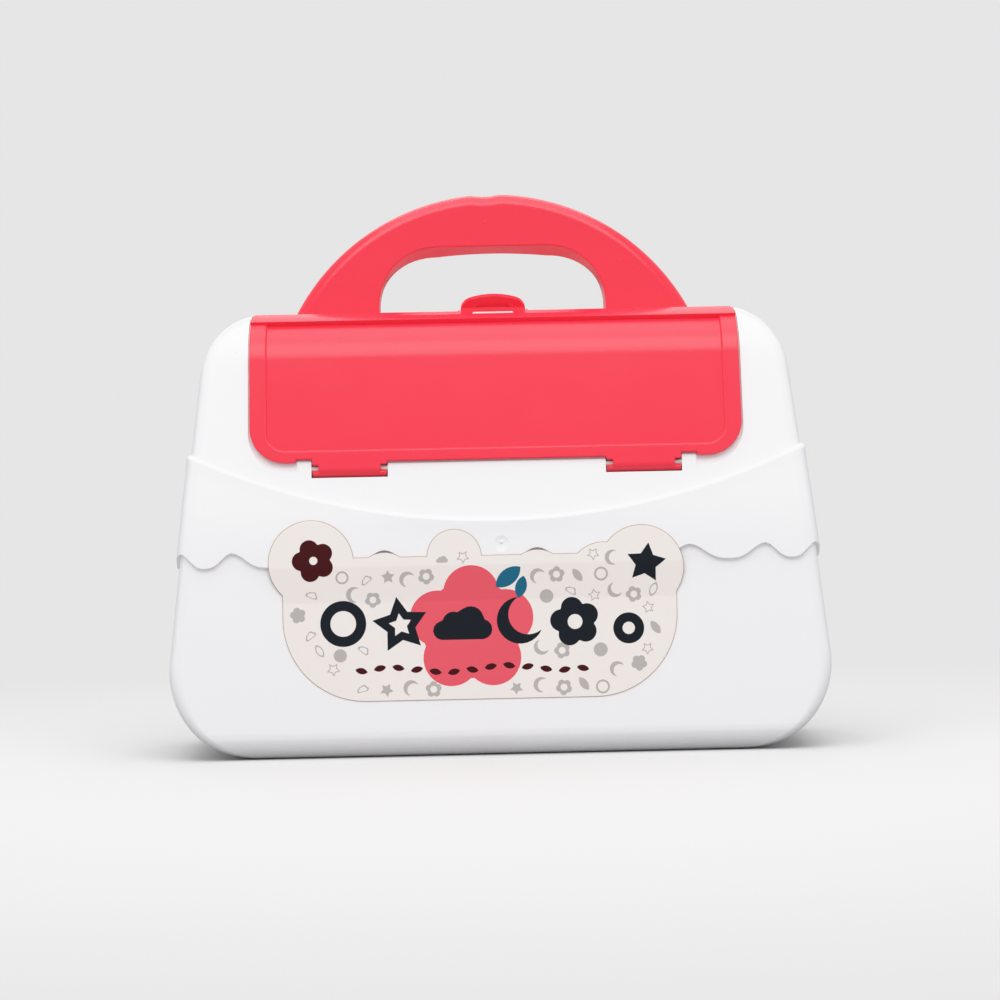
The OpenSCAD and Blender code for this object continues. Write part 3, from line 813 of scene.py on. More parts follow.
class Finishes:
    """Every finish of the case, as materials."""

    WHITE = Finish("white_moulded", (0.88, 0.87, 0.89), (0.62, 0.5, 0.4), roughness=0.36,
                   drift=0.025, mark_amount=0.3, bump=0.012)
    CORAL = Finish("coral_moulded", (0.95, 0.034, 0.068), (0.5, 0.02, 0.04), roughness=0.24,
                   drift=0.08, mark_amount=0.25, bump=0.012, mark_scale=30)
    PIN = Finish("pin_nylon", (0.8, 0.78, 0.78), (0.5, 0.45, 0.42), roughness=0.45)
    STEEL = Finish("plated_steel", (0.62, 0.61, 0.58), (0.3, 0.25, 0.2), roughness=0.3,
                   metallic=1.0, drift=0.2, roughness_drift=0.3, grain_scale=3000, bump=0.006)
    STICKER = Finish("sticker_vinyl", (0.86, 0.8, 0.77), (0.6, 0.52, 0.47), roughness=0.42,
                     drift=0.06, grain_scale=2600, wave_scale=60, bump=0.004)
    PAPER = Finish("sticker_paper_edge", (0.42, 0.27, 0.19), (0.3, 0.2, 0.15), roughness=0.7,
                   bump=0.004)
    INK_GREY = Finish("ink_pale_grey", (0.47, 0.44, 0.43), (0.4, 0.38, 0.38), roughness=0.42,
                      bump=0.003)
    INK_CORAL = Finish("ink_coral", (0.8, 0.095, 0.135), (0.5, 0.05, 0.08), roughness=0.42,
                       bump=0.003, specular=0.3)
    INK_TEAL = Finish("ink_teal", (0.01, 0.13, 0.225), (0.01, 0.08, 0.14), roughness=0.42,
                      bump=0.003, specular=0.2)
    INK_MAROON = Finish("ink_maroon", (0.06, 0.006, 0.008), (0.04, 0.01, 0.01), roughness=0.42,
                        bump=0.003, specular=0.12)
    INK_NAVY = Finish("ink_navy", (0.01, 0.014, 0.02), (0.02, 0.02, 0.03), roughness=0.42,
                      bump=0.003, specular=0.12)

    def __init__(self) -> None:
        """Builds the shared effects."""
        self.effects = Effects()
        self.made: dict[str, Material] = {}

    def get(self, finish: Finish) -> Material:
        """The finish's material, built when it is first asked for."""
        if finish.name not in self.made:
            self.made[finish.name] = finish.material(self.effects)
        return self.made[finish.name]


class Slot(Enum):
    """The record's material slots."""

    WHITE = "white_plastic"
    CORAL = "coral_plastic"
    PIN = "pin_plastic"
    STEEL = "steel"
    STICKER = "sticker"


class Body(Enum):
    """The bodies that pieces ride on."""

    CASE = "case"
    DOOR = "door"


def piece(name: str, bm: BMesh, material: Material, body: Body, slot: Slot,
          *stands_for: str) -> None:
    """Turns a solid in millimetres into a finished piece. The solid is used up.

    Args:
        name: the piece's name.
        bm: the solid.
        material: its finish.
        body: the body it rides on.
        slot: not used.
        stands_for: the CAD nodes that it replaces.
    """
    bmesh.ops.scale(bm, vec=(MM, MM, MM), verts=bm.verts)
    mesh = spent(bm, name)
    mesh.polygons.foreach_set("use_smooth", [True] * len(mesh.polygons))
    mesh.set_sharp_from_angle(angle=math.radians(HARD_EDGE))
    mesh.materials.append(material)
    obj = linked(name, mesh)
    even = obj.modifiers.new("even_shading", "WEIGHTED_NORMAL")
    even.keep_sharp, even.weight = True, 50
    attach(obj, body.value)
    if stands_for:
        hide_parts(*stands_for)
    log.info("%s: %d faces, rides on %s", name, len(mesh.polygons), body.value)


def pip(bm: BMesh, at: Triple, radius: float = 0.9) -> BMesh:
    """Adds a tiny round mark left by the mould. The solid is used up."""
    ball = bmesh.new()
    bmesh.ops.create_icosphere(ball, subdivisions=3, radius=radius)
    bmesh.ops.translate(ball, vec=at, verts=ball.verts)
    return combined(bm, ball, Join.ADD)


# --- Shells -------------------------------------------------------------------------------
@dataclass(frozen=True)
class Fasteners:
    """Places and sizes of the screws that hold the shells and the handle."""

    form: CaseForm
    boss_r: float = 3.6
    well_r: float = 3.3
    well_wall: float = 1.6
    head_seat: float = 3.0
    shank_hole_r: float = 1.75
    pilot_r: float = 1.48
    pilot_depth: float = 10.0
    room: float = 1.0           # between a well and the wall
    low_shift: Point = (10.0, 6.0)      # of the lower screw, from the corner and the wall
    high_shift: Point = (9.0, 8.0)      # of the upper screw, from the corner's centre

    @property
    def shell_at(self) -> list[Point]:
        """Shell screws on the right side, as (x, z)."""
        inset = self.well_r + self.well_wall + self.form.wall + self.room
        base, top = self.form.base_corner, self.form.top_corner
        return [(base[0] + self.low_shift[0], inset + self.low_shift[1]),
                (self.form.half_width(self.form.knee_z) - inset, self.form.knee_z),
                (top[0] + self.high_shift[0], top[1] + self.high_shift[1])]


@dataclass(frozen=True)
class Hinge:
    """The door's hinges and edges, which the door and the front shell share."""

    form: CaseForm
    bottom: float = 119.2       # height of the door's lower edge
    back_y: float = -13.7       # depth of its upper edge
    door_proud: float = 1.6
    door_t: float = 2.2
    gap: float = 0.4
    side_gap: float = 0.3
    axis_z: float = 116.4
    knuckle_x: float = 59.5
    knuckle_l: float = 30.2
    knuckle_r: float = 3.4
    pin_r: float = 1.1
    lug_w: float = 5.9
    window: float = 2.6
    window_h: float = 3.3
    pocket_gap: float = 0.22    # round the knuckles
    pin_gap: float = 0.02       # round the pins in their lugs

    @property
    def axis(self) -> Point:
        """The hinge axis, as (y, z)."""
        return self.form.face_y(self.axis_z, self.door_proud - self.knuckle_r), self.axis_z

    @property
    def recess_d(self) -> float:
        """How far the door's recess is pushed out from the face, under 0."""
        return self.door_proud - self.door_t - self.gap

    @property
    def inner(self) -> float:
        """The knuckle's inner end."""
        return self.knuckle_x - self.knuckle_l / 2

    @property
    def outer(self) -> float:
        """The knuckle's outer end."""
        return self.knuckle_x + self.knuckle_l / 2

    @property
    def lug_out(self) -> float:
        """The outer side of the outer lug."""
        return self.outer + self.side_gap + self.lug_w

    @property
    def block_in(self) -> float:
        """The inner side of the inner lug."""
        return self.inner - self.side_gap - self.lug_w


@dataclass
class Shells:
    """The two moulded halves of the case."""

    form: CaseForm
    band: Band
    hinge: Hinge
    fasteners: Fasteners
    rim_proud: float = 1.68
    rim_half: float = 1.5
    rim_round: float = 0.45
    rim_corner_r: float = 24.5  # the rim is fuller than the shells at the upper corners
    rim_corner_span: float = 191.6
    parting_gap: float = 0.05
    parting_round: float = 0.22
    edge_round: float = 0.3
    far: float = 200.0          # beyond the case on every side
    sunk: float = 0.6           # how far inner parts reach into the walls
    door_half: float = 100.0
    recess_bottom: float = 114.5
    recess_corner_r: float = 17.0
    recess_low: float = 100.0   # the face is left alone under this height
    recess_over: float = 20.0   # how far over the case's top the recess is cut
    ledge_w: float = 7.0
    opening_r: float = 6.0
    opening_turn: float = 50.0  # degrees up the shoulder's round where the opening ends
    tongue_w: float = 16.4
    tongue_y: float = -17.9
    tongue_top: float = 180.15
    leg_in: float = 47.0
    leg_out: float = 80.0
    leg_depth: float = 8.0      # how far the handle's notches reach down from the top
    handle_half_d: float = 9.0
    housing_wall: float = 1.6   # behind the knuckles
    housing_low: float = 2.0    # under the knuckles
    housing_high: float = 5.0   # over the door's lower edge
    boss_gap: float = 0.15      # from the parting to a boss's end
    tongue_drop: Point = (0.75, 1.3)    # how far its tip and its root slope down in front
    tongue_round: float = 0.2
    lug_rise: float = 0.3       # of the lugs' tops over the door's lower edge
    pocket_rise: float = 0.5    # of the pockets' tops over it
    flush_drop: float = 1.0     # from it to where the face between the lugs is left alone
    opening_stop: float = 8.0   # how far in front of the rim the opening's cutter ends
    slack: float = 0.001        # keeps the sides of two cutters apart
    skin_gap: float = 0.02      # keeps the housings under the case's outer faces
    gate_at: Point = (1.1, 85.6)
    gate_r: float = 3.2
    gate_depth: float = 0.5
    nub_rise: float = 0.15      # of the nub's middle behind the dimple's floor
    nub_r: float = 0.75
    pips: tuple[Point, ...] = ((-105.5, 164.7), (112.0, 113.8))
    groove_w: float = 0.5       # of the groove between the front face and the rim
    groove_depth: float = 0.6
    groove_y: float = -10.0     # in front of the rim, where the groove's cutter starts

    def rim(self) -> BMesh:
        """The rim that stands proud along the parting line."""
        fuller = replace(self.form, top_corner_r=self.rim_corner_r,
                         top_corner_span=self.rim_corner_span)
        outline = fuller.outline(self.rim_proud, self.form.wall)
        bm = prism(outline, Along.Y, -self.rim_half, self.rim_half)
        soften(bm, lambda e: True, self.rim_round, 3)
        front = -self.rim_half + self.groove_depth
        groove = combined(
            prism(self.form.outline(self.groove_w, self.form.wall), Along.Y, self.groove_y, front),
            prism(self.form.outline(-0.05, self.form.wall), Along.Y, self.groove_y - 1, front + 1),
            Join.CUT)
        return combined(bm, groove, Join.CUT)

    def hollow_case(self) -> BMesh:
        """Both halves in one: walls, band and rim, hollow, with the handle's notches."""
        bm = combined(self.form.solid(), self.band.solid(), Join.ADD)
        bm = combined(bm, self.rim(), Join.ADD)
        bm = combined(bm, self.form.solid(-self.form.wall), Join.CUT)
        gap = self.hinge.side_gap
        notches = both_sides(lambda: box(
            (self.leg_in - gap, -self.handle_half_d - gap, self.form.height - self.leg_depth),
            (self.leg_out + gap, self.handle_half_d + gap, self.form.height + 3)))
        return combined(bm, notches, Join.CUT)

    def half(self, case: BMesh, front: bool) -> BMesh:
        """One half of the hollow case, with its parting edge rounded."""
        side = -1 if front else 1
        ys = sorted((side * self.parting_gap / 2, side * self.far))
        block = box((-self.far, ys[0], -self.far), (self.far, ys[1], self.far))
        bm = combined(case.copy(), block, Join.KEEP_SHARED)
        soften(bm, lambda e: abs(middle(e).y) < self.parting_gap and self._outside(e),
               self.parting_round)
        return bm

    def _outside(self, edge: BMEdge) -> bool:
        """Whether an edge at the parting lies on the case's outer side."""
        at = middle(edge)
        return (at.z > self.form.height - 0.5 or at.z < 0.5
                or abs(at.x) > self.form.half_width(min(at.z, self.form.height), -self.sunk))

    def bay(self, grow: float, room: float) -> BMesh:
        """The space in front of the door's place in the face.

        Args:
            grow: how far its front and sides are grown into the wall.
            room: how far its back lies behind the door's.

        Returns:
            A closed solid.
        """
        h = self.hinge
        front = self.form.before_face(h.recess_d - grow, self.recess_low, self.recess_over)
        half, r = self.door_half + h.gap + grow, self.recess_corner_r + grow
        corner = arc((half - r, self.recess_bottom - grow + r), r, -90, 0, 12)
        apron = prism(symmetric(corner + [(half, self.far)]), Along.Y, -self.far,
                      h.back_y + room)
        return combined(prism(front, Along.X, -self.far, self.far), apron, Join.KEEP_SHARED)

    def recess(self) -> BMesh:
        """What is cut from the face for the door to lie in."""
        h = self.hinge
        flush = box((-h.lug_out, -self.far, self.recess_low),
                    (h.lug_out, 0, h.bottom - self.flush_drop))
        bm = combined(self.bay(0.0, h.gap), flush, Join.CUT)
        lugs = both_sides(lambda: box((h.outer + h.side_gap, -self.far, self.recess_low),
                                      (h.lug_out, 0, h.bottom + self.lug_rise)))
        return combined(bm, lugs, Join.CUT)

    def ledge(self) -> BMesh:
        """The thicker wall behind the door's recess."""
        bay = self.bay(self.form.wall, self.form.wall)
        return combined(bay, self.form.solid(-self.sunk), Join.KEEP_SHARED)

    def housings(self) -> BMesh:
        """The blocks behind the face that hold the hinge pins."""
        h = self.hinge
        blocks = both_sides(lambda: box(
            (h.block_in, -self.far, h.axis_z - h.knuckle_r - self.housing_low),
            (h.lug_out, h.axis[0] + h.knuckle_r + h.gap + self.housing_wall,
             h.bottom + self.housing_high)))
        return combined(blocks, self.form.solid(-self.skin_gap), Join.KEEP_SHARED)

    def pockets(self) -> BMesh:
        """What is cut for the knuckles and the pins."""
        h = self.hinge
        r = h.knuckle_r + h.pocket_gap
        low, high = h.inner - h.side_gap, h.outer + h.side_gap
        rounds = both_sides(lambda: rod(Along.X, low, high, h.axis, r, 40))
        blocks = both_sides(lambda: box(
            (low + self.slack, -self.far, h.axis_z - r),
            (high - self.slack, h.axis[0], h.bottom + self.pocket_rise)))
        holes = both_sides(lambda: rod(Along.X, h.block_in + 1, h.lug_out + SLIVER, h.axis,
                                       h.pin_r + h.pin_gap, 24))
        return combined(combined(rounds, blocks, Join.ADD), holes, Join.ADD)

    def opening(self) -> BMesh:
        """The door opening."""
        half, low = self.door_half - self.ledge_w, self.hinge.bottom + self.ledge_w - 1
        rise = math.sin(math.radians(self.opening_turn))
        top = (self.form.shoulder[1] + (self.form.shoulder_r + self.hinge.recess_d) * rise
               - self.form.wall)
        right = arc((half - self.opening_r, low + self.opening_r), self.opening_r, -90, 0, 6)
        return prism(symmetric([*right, (half, top)]), Along.Y, -self.far,
                     -self.rim_half - self.opening_stop)

    def tongue(self) -> BMesh:
        """The catch that reaches forwards through the slot under the tab."""
        wall, back = self.form.height - self.form.wall, self.form.wall - self.form.top_flat
        front, (tip, root) = self.hinge.back_y + self.hinge.gap, self.tongue_drop
        outline = [(back, wall), (back, self.tongue_top), (self.tongue_y, self.tongue_top),
                   (self.tongue_y, self.tongue_top - tip), (front, self.tongue_top - root),
                   (front, wall - 1)]
        bm = prism(outline, Along.X, -self.tongue_w / 2, self.tongue_w / 2)
        soften(bm, lambda e: middle(e).y < self.tongue_y + 1, self.tongue_round)
        return bm

    def bosses(self, front: bool) -> BMesh:
        """The screw bosses inside one half."""
        f, gap, far = self.fasteners, self.boss_gap, self.far
        rods = (self.at_screws(-far, -gap, f.boss_r) if front
                else self.at_screws(gap, far, f.well_r + f.well_wall))
        return combined(rods, self.form.solid(-self.sunk), Join.KEEP_SHARED)

    def at_screws(self, low: float, high: float, radius: float, sides: int = 48) -> BMesh:
        """A rod along the depth at every shell screw."""
        return gathered(both_sides(lambda at=at: rod(Along.Y, low, high, at, radius, sides))
                        for at in self.fasteners.shell_at)

    def gate(self, bm: BMesh) -> BMesh:
        """Adds the dimple and nub that the moulding gate left on the band."""
        x, z = self.gate_at
        face = self.form.low_y(z, self.band.proud)
        ball_r = (self.gate_r ** 2 + self.gate_depth ** 2) / (2 * self.gate_depth)
        for radius, y, how in ((ball_r, face - ball_r + self.gate_depth, Join.CUT),
                               (self.nub_r, face + self.gate_depth + self.nub_rise, Join.ADD)):
            ball = bmesh.new()
            bmesh.ops.create_uvsphere(ball, u_segments=96, v_segments=64, radius=radius)
            bmesh.ops.rotate(ball, matrix=Matrix.Rotation(math.pi / 2, 3, "X"), verts=ball.verts)
            bmesh.ops.translate(ball, vec=(x, y, z), verts=ball.verts)
            bm = combined(bm, ball, how)
        return bm

    def front_shell(self, case: BMesh) -> BMesh:
        """The front half, with all that carries the door."""
        bm = self.half(case, front=True)
        for extra in (self.ledge(), self.housings(), self.bosses(front=True)):
            bm = combined(bm, extra, Join.ADD)
        pilots = self.at_screws(-self.fasteners.pilot_depth, 1, self.fasteners.pilot_r, 24)
        for cutter in (self.recess(), self.opening(), self.pockets(), pilots):
            bm = combined(bm, cutter, Join.CUT)
        soften(bm, self._door_edge, self.edge_round)
        bm = combined(bm, self.tongue(), Join.ADD)
        for x, z in self.pips:
            bm = pip(bm, (x, -self.form.half_depth(z) + PIP_SUNK, z))
        return self.gate(bm)

    def _door_edge(self, edge: BMEdge) -> bool:
        """Whether an edge belongs to the door's recess, lugs or opening."""
        at = middle(edge)
        near_face = (at.y < self.form.face_y(max(at.z, self.recess_low), -4)
                     or at.z > self.form.shoulder[1] + 4)
        return (abs(at.x) < self.door_half + 1 and near_face and at.z > self.recess_bottom - 3
                and at.y < self.hinge.back_y + 1 and at.z < self.form.height - 2)

    def rear_shell(self, case: BMesh) -> BMesh:
        """The rear half, with the screw wells."""
        f = self.fasteners
        bm = combined(self.half(case, front=False), self.bosses(front=False), Join.ADD)
        bm = combined(bm, self.at_screws(f.head_seat, self.far, f.well_r), Join.CUT)
        holes = self.at_screws(-1, f.head_seat + 1, f.shank_hole_r, 24)
        bm = combined(bm, holes, Join.CUT)
        soften(bm, self._well_edge, self.edge_round)
        return bm

    def _well_edge(self, edge: BMEdge) -> bool:
        """Whether an edge is the outer rim of a screw well."""
        at = middle(edge)
        near = min(math.hypot(abs(at.x) - x, at.z - z) for x, z in self.fasteners.shell_at)
        return near < self.fasteners.well_r + 0.4 and at.y > self.fasteners.head_seat + 3

    def build(self, finishes: Finishes) -> None:
        """Makes both shells."""
        case = self.hollow_case()
        white = finishes.get(Finishes.WHITE)
        piece("case_front", self.front_shell(case), white, Body.CASE, Slot.WHITE, "front_shell")
        piece("case_rear", self.rear_shell(case), white, Body.CASE, Slot.WHITE, "rear_shell")
        case.free()


# --- Door ---------------------------------------------------------------------------------
@dataclass
class Door:
    """The drop-down door: a plate bent over the shoulder, its lip, tab and curled knuckles."""

    form: CaseForm
    hinge: Hinge
    half: float = 99.75
    corner_r: float = 14.4
    border: float = 6.9
    border_low: float = 5.0
    panel_sink: float = 1.05
    panel_round: float = 0.85
    panel_stop: float = 18.0    # degrees under the door's back edge where the panel ends
    edge_round: float = 0.6
    curl: float = 262.0         # degrees that a knuckle curls round its pin
    notch_over: float = 1.2     # height of the notch over a hinge lug
    lip_proud: float = 2.7
    lip_angle: float = 53.0
    lip_top: float = 180.7
    lip_slant: float = 1.7      # how far the lip's ends lean in over its drop
    lip_drop: float = 2.4
    lip_round: float = 0.75
    lip_lift: float = 0.6       # of the lip's underside over the shoulder
    tab_w: float = 27.0
    tab_h: float = 6.45         # to the tab's front edge; its rear edge stands higher
    tab_t: float = 2.0
    tab_lean: float = 35.0
    tab_y: float = -15.75
    tab_root: float = 179.6
    tab_crease: float = 181.9
    tab_bend_r: float = 1.6
    tab_dome_r: float = 29.5
    tab_corner_r: float = 6.0
    tab_round: float = 0.4
    flare_out: Point = (1.0, 0.45)      # how far the tab's root stands out, low and high
    flare_h: float = 0.6
    scoop_depth: float = 0.8
    scoop_low: Point = (7.2, 0.25)      # half width, and height over the crease
    scoop_high: Point = (5.7, 2.2)
    slot_half: float = 8.5
    slot_low: float = 179.45
    slot_high: float = 180.0
    pip_at: Point = (72.2, 153.5)
    fine_round: float = 0.15

    def route(self) -> tuple[Bend, float]:
        """The route that the plate follows, and where the door's lower edge lies on it."""
        h, lean = self.hinge, self.form.face_lean
        begin = lean - self.curl
        n = Bend.normal(begin)
        start = (h.axis[0] + h.knuckle_r * n[0], h.axis[1] + h.knuckle_r * n[1])
        bend = Bend(start, begin).turn(h.knuckle_r, self.curl)
        edge = bend.length + (h.bottom - bend.end[1]) / math.cos(math.radians(lean))
        shoulder_r = self.form.shoulder_r + h.door_proud
        top = self.form.shoulder[1] + shoulder_r * math.sin(math.radians(lean))
        bend.straight((top - bend.end[1]) / math.cos(math.radians(lean)))
        back = math.degrees(math.acos((self.form.shoulder[0] - h.back_y) / shoulder_r))
        return bend.turn(shoulder_r, back - lean), edge

    def plate_outline(self, bend: Bend, edge: float) -> Outline:
        """The flat plate seen from the front, as (x, s)."""
        h = self.hinge
        lean = math.cos(math.radians(self.form.face_lean))
        high = edge - (h.bottom - h.axis_z - h.window_h / 2) / lean
        drop = math.degrees(math.asin(h.window_h / 2 / h.knuckle_r)) + self.form.face_lean
        low = h.knuckle_r * math.radians(self.curl - drop)
        cut = h.window
        notch = edge + self.notch_over / lean
        knuckle = [(h.inner, edge), (h.inner, high), (h.inner + cut, high), (h.inner + cut, low),
                   (h.inner, low), (h.inner, 0), (h.outer, 0), (h.outer, low),
                   (h.outer - cut, low), (h.outer - cut, high), (h.outer, high),
                   (h.outer, notch), (h.lug_out + h.side_gap, notch),
                   (h.lug_out + h.side_gap, edge)]
        corner = arc((self.half - self.corner_r, edge + self.corner_r), self.corner_r, -90, 0, 14)
        return symmetric([*knuckle, *corner, (self.half, bend.length)])

    def plate(self) -> BMesh:
        """The plate with its sunk panel and its knuckles."""
        bend, edge = self.route()
        bm = prism(self.plate_outline(bend, edge), Along.Y, 0, self.hinge.door_t)
        lip_at = bend.length - ((self.form.shoulder_r + self.hinge.door_proud)
                                * math.radians(self.panel_stop))
        r = self.corner_r - self.border
        half, low = self.half - self.border, edge + self.border_low
        right = arc((half - r, low + r), r, -90, 0, 8) + [(half, lip_at)]
        panel = prism(symmetric(right), Along.Y, -1, self.panel_sink)
        bm = combined(bm, panel, Join.CUT)
        inside, foot, head = half + SLIVER, edge + 3, bend.length - 1

        def round_panel(e: BMEdge) -> bool:
            return abs(middle(e).x) < inside and foot < middle(e).z < head

        soften(bm, lambda e: round_panel(e) and middle(e).y < SLIVER, self.panel_round, 5)
        soften(bm, lambda e: round_panel(e) and abs(middle(e).y - self.panel_sink) < SLIVER,
               self.fine_round)
        soften(bm, lambda e: abs(middle(e).x) > inside or middle(e).z < foot, self.edge_round)
        sliced(bm, bend.cuts(BEND_STEP))
        bend.wrap(bm)
        return bm

    def lip(self) -> BMesh:
        """The lip along the door's top edge, with slanted ends."""
        s, r = self.form.shoulder, self.form.shoulder_r
        outer = r + self.lip_proud
        top = math.degrees(math.asin((self.lip_top - s[1]) / outer))
        front = arc(s, outer, 180 - self.lip_angle, 180 - top, 4)
        inner_r = r + self.lip_lift
        inset = 0.02            # keeps the lip's ends inside the plate's
        back = math.degrees(math.acos((s[0] - self.hinge.back_y - inset) / inner_r))
        inner = arc(s, inner_r, 180 - back, 180 - self.lip_angle, 6)
        outline = front + [(self.hinge.back_y + inset, self.lip_top)] + inner
        bm = prism(outline, Along.X, -self.half + inset, self.half - inset)
        for side in (-1, 1):
            cut = bmesh.ops.bisect_plane(
                bm, geom=everything(bm), clear_outer=True,
                plane_co=(side * self.half, 0, self.lip_top - self.lip_drop),
                plane_no=(side * self.lip_drop, 0, self.lip_slant))
            edges = [g for g in cut["geom_cut"] if isinstance(g, BMEdge)]
            bmesh.ops.contextual_create(bm, geom=edges)
        bmesh.ops.recalc_face_normals(bm, faces=bm.faces)
        soften(bm, lambda e: middle(e).y < self.hinge.back_y - 1, self.lip_round, 3, turn=20)
        return bm

    def tab(self) -> BMesh:
        """The finger tab, bent forwards over the lip."""
        half, root = self.tab_w / 2, self.lip_top - self.tab_root
        rise = self.tab_crease - self.tab_root
        lean = math.radians(self.tab_lean)
        total = rise + (self.form.height + self.tab_h - self.tab_crease) / math.cos(lean)
        corner_x = half - self.tab_corner_r
        corner_z = math.sqrt((self.tab_dome_r - self.tab_corner_r) ** 2 - corner_x ** 2)
        turn = math.degrees(math.atan2(corner_z, corner_x))
        low = total - self.tab_dome_r
        wide, less = self.flare_out
        flare = [(half + wide, 0.0), (half + wide, root), (half + less, root + self.flare_h)]
        right = (flare + arc((corner_x, low + corner_z), self.tab_corner_r, 0, turn, 8)
                 + arc((0, low), self.tab_dome_r, turn, 90, 8))
        bm = prism(right + flipped(right)[1:], Along.Y, 0, self.tab_t)
        mouth = [(x, rise + z) for x, z in (self.scoop_low, self.scoop_high)]
        bm = combined(bm, prism(symmetric(mouth), Along.Y, -1, self.scoop_depth), Join.CUT)

        def in_scoop(e: BMEdge) -> bool:
            at = middle(e)
            return (abs(at.x) < self.scoop_low[0] + 0.2 and at.y < self.scoop_depth + SLIVER
                    and rise < at.z < rise + self.scoop_high[1] + 0.3)

        above = root + self.flare_h + 0.1
        soften(bm, lambda e: middle(e).z > above and not in_scoop(e), self.tab_round, 3)
        soften(bm, in_scoop, self.fine_round)
        reach = self.tab_bend_r * math.tan(lean / 2)
        bend = Bend((self.tab_y, self.tab_root), 0).straight(rise - reach)
        bend.turn(self.tab_bend_r, -self.tab_lean).straight(total)
        sliced(bm, bend.cuts(BEND_STEP)[:-1])
        bend.wrap(bm)
        return bm

    def solid(self) -> BMesh:
        """The whole door."""
        bm = combined(self.plate(), self.lip(), Join.ADD)
        bm = combined(bm, self.tab(), Join.ADD)
        slot = box((-self.slot_half, -30, self.slot_low),
                   (self.slot_half, self.hinge.back_y + 1, self.slot_high))
        bm = combined(bm, slot, Join.CUT)
        x, z = self.pip_at
        face = self.form.face_y(z, self.hinge.door_proud - self.panel_sink)
        return pip(bm, (x, face + PIP_SUNK, z))

    def build(self, finishes: Finishes) -> None:
        """Makes the door."""
        piece("door", self.solid(), finishes.get(Finishes.CORAL), Body.DOOR, Slot.CORAL,
              "front_door")


